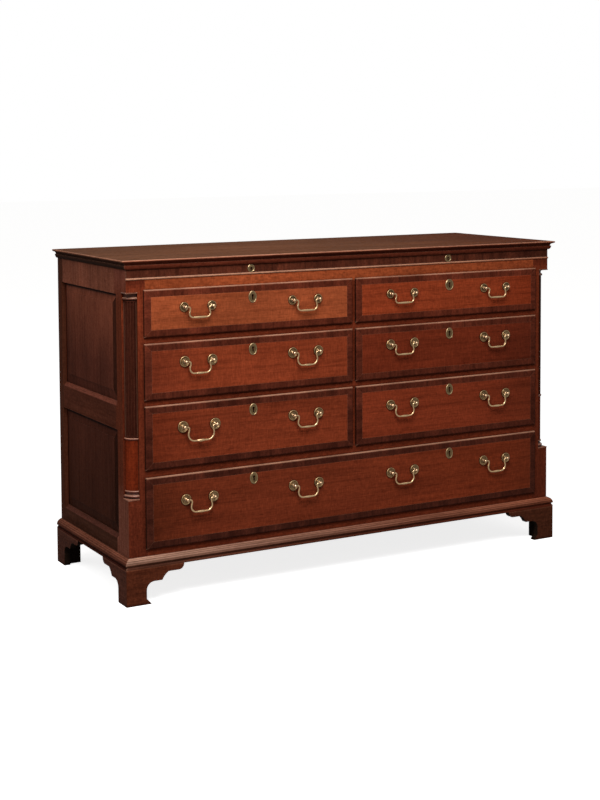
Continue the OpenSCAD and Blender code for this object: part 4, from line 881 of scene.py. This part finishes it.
def close_up():
    """Turns every face outward and leaves edit mode."""
    bpy.ops.mesh.select_all(action="SELECT")
    bpy.ops.mesh.remove_doubles(threshold=1e-6)
    bpy.ops.mesh.normals_make_consistent(inside=False)
    bpy.ops.object.mode_set(mode="OBJECT")


# %% Make a keyhole plate
PLATE_THICK = 0.0016
EDGE_THICK = PLATE_THICK * 0.55
BEAD_RISE = 0.0008
RINGS = ((0.0004, 0.0004),                      # how far each ring goes in and how far it rises
         (0.0005, BEAD_RISE * 0.6), (0.0006, BEAD_RISE * 0.4),
         (0.0007, -BEAD_RISE * 0.4), (0.0006, -BEAD_RISE * 0.8),
         (0.0012, 0.0), (0.0022, 0.0003), (0.0024, 0.0002))
RIM = 0.0034                                    # from the edge to the hollow inside the bead
HOLE_R = 0.0040
SLOT_FROM = 0.80 * HOLE_R                       # the circle's corners below this go into the slot
CUT_DEPTH = 0.02


def keyhole_cutter(head, slot, depth):
    """A solid keyhole: a round head at that height with a slot running down from it."""
    cutter = new_round(32, HOLE_R)
    mesh = bmesh.from_edit_mesh(cutter.data)
    mesh.verts.ensure_lookup_table()
    for vertex in mesh.verts:
        vertex.select = vertex.co.y < -SLOT_FROM
    mesh.select_flush_mode()
    bmesh.update_edit_mesh(cutter.data)
    bpy.ops.transform.translate(value=(0, -slot, 0))
    bpy.ops.mesh.select_all(action="SELECT")
    bpy.ops.transform.translate(value=(0, head, -depth / 2))
    extrude(0, 0, depth)
    close_up()
    return cutter


def keyhole_plate(name, width, height, head, slot):
    """An oval plate lying on z = 0 with its front up, its keyhole cut through."""
    plate = new_round(64, 1.0)
    plate.name = name
    bpy.ops.transform.resize(value=(width / 2, height / 2, 1), center_override=(0, 0, 0))
    extrude(0, 0, EDGE_THICK)
    for thickness, rise in RINGS:
        bpy.ops.mesh.inset(thickness=thickness, depth=rise)
    close_up()
    cutter = keyhole_cutter(head, slot, CUT_DEPTH)
    bpy.ops.object.select_all(action="DESELECT")
    plate.select_set(True)
    bpy.context.view_layer.objects.active = plate
    cut = plate.modifiers.new("keyhole", "BOOLEAN")
    cut.operation = "DIFFERENCE"
    cut.solver = "EXACT"
    cut.object = cutter
    bpy.ops.object.modifier_apply(modifier=cut.name)
    bpy.data.objects.remove(cutter)
    bpy.ops.object.shade_smooth_by_angle(angle=math.radians(50))
    plate.data.materials.append(plate_brass)
    plate.data.materials.append(plate_hollow)
    limit = 1 - RIM / (width / 2)
    for face in plate.data.polygons:
        x, y, _ = face.center
        inside = math.hypot(x / (width / 2), y / (height / 2)) < limit
        face.material_index = 1 if inside else 0
    return plate


# %% Pin the plates
PIN_R, PIN_FLATNESS = 0.00115, 0.45
PIN_IN = 0.0036                                 # from the plate's end to a pin's middle


def pin(place):
    """A domed pin head: a small ball pressed flat, standing on the plate."""
    bpy.ops.object.select_all(action="DESELECT")
    bpy.ops.mesh.primitive_uv_sphere_add(segments=12, ring_count=8, radius=PIN_R,
                                         location=(0, 0, 0))
    bpy.ops.object.mode_set(mode="EDIT")
    bpy.ops.mesh.select_all(action="SELECT")
    bpy.ops.transform.resize(value=(1, 1, PIN_FLATNESS), center_override=(0, 0, 0))
    bpy.ops.transform.translate(value=(0, place, PLATE_THICK))
    bpy.ops.object.mode_set(mode="OBJECT")
    bpy.ops.object.shade_smooth()
    active().data.materials.append(plate_brass)
    return active()


def join(pieces, name):
    """Joins pieces into the first one and gives it a name."""
    bpy.ops.object.select_all(action="DESELECT")
    for piece in pieces:
        piece.select_set(True)
    bpy.context.view_layer.objects.active = pieces[0]
    if len(pieces) > 1:
        bpy.ops.object.join()
    active().name = name
    active().data.name = name
    return active()


def pinned_plate(name, width, height, head, slot):
    plate = keyhole_plate(name, width, height, head, slot)
    reach = height / 2 - PIN_IN
    return join([plate, pin(reach), pin(-reach)], name)


# A plate's width and height, how high the head of its keyhole lies, and how far the slot runs down
SIZES = {"usual": (0.028, 0.037, 0.004, 0.0092), "rounder": (0.032, 0.037, 0.004, 0.0092),
         "small": (0.025, 0.025, 0.0005, 0.0055)}
patterns = {kind: pinned_plate(f"plate_{kind}", *sizes) for kind, sizes in SIZES.items()}
for key, pattern in patterns.items():
    print(key, "plate", len(pattern.data.polygons), "faces",
          [round(v * 1000, 2) for v in pattern.dimensions])

# %% [markdown]
# The plates are copied to their places and turned upright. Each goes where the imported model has
# its stepped oval: the small pattern on the frieze, the rounder one for the widest oval, and the
# usual one elsewhere. On the frieze the plates are lifted clear of the bead below. Plates that
# share a node are joined, so that one piece stands for one node and rides on the same drawer.

# %% Put the plates on the fronts
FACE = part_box("false_fronts")[LOW][Y]
LID_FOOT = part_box("lid_moulding")[LOW][Z]
UNDER_LID = 0.001                               # the gap between a frieze plate and the moulding
ROUNDER_WIDTH = 0.030
SMALLEST = 0.01                                 # what is lower than this is a sliver, no plate


def placed(low, high):
    """A copy of the pattern that suits a packed plate's box, turned upright in its place."""
    x, back, z = (low[X] + high[X]) / 2, high[Y], (low[Z] + high[Z]) / 2
    kind = "rounder" if high[X] - low[X] > ROUNDER_WIDTH else "usual"
    if back > (FACE + FRONT) / 2:               # it lies on the frieze and not on a drawer front
        kind, z = "small", LID_FOOT - UNDER_LID - SIZES["small"][1] / 2
    bpy.ops.object.select_all(action="DESELECT")
    patterns[kind].select_set(True)
    bpy.context.view_layer.objects.active = patterns[kind]
    bpy.ops.object.duplicate()
    copy = active()
    copy.rotation_euler = (math.pi / 2, 0, 0)
    copy.location = (x, back, z)
    bpy.ops.object.transform_apply(location=True, rotation=True, scale=True)
    return copy


PLATES = {"upper_escutcheons": ("carcass", "upper_keyhole_plates"),
          "left_drawer_escutcheon": ("left_drawer", "left_drawer_keyhole_plate"),
          "right_drawer_escutcheon": ("right_drawer", "right_drawer_keyhole_plate"),
          "long_drawer_escutcheon": ("long_drawer", "long_drawer_keyhole_plates")}
for node_name, (body, name) in PLATES.items():
    piece = join([placed(low, high) for _, low, high in solids(NODES[node_name])
                  if high[Z] - low[Z] > SMALLEST], name)
    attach(piece, body)
    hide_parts(node_name)
for pattern in patterns.values():
    bpy.data.objects.remove(pattern)
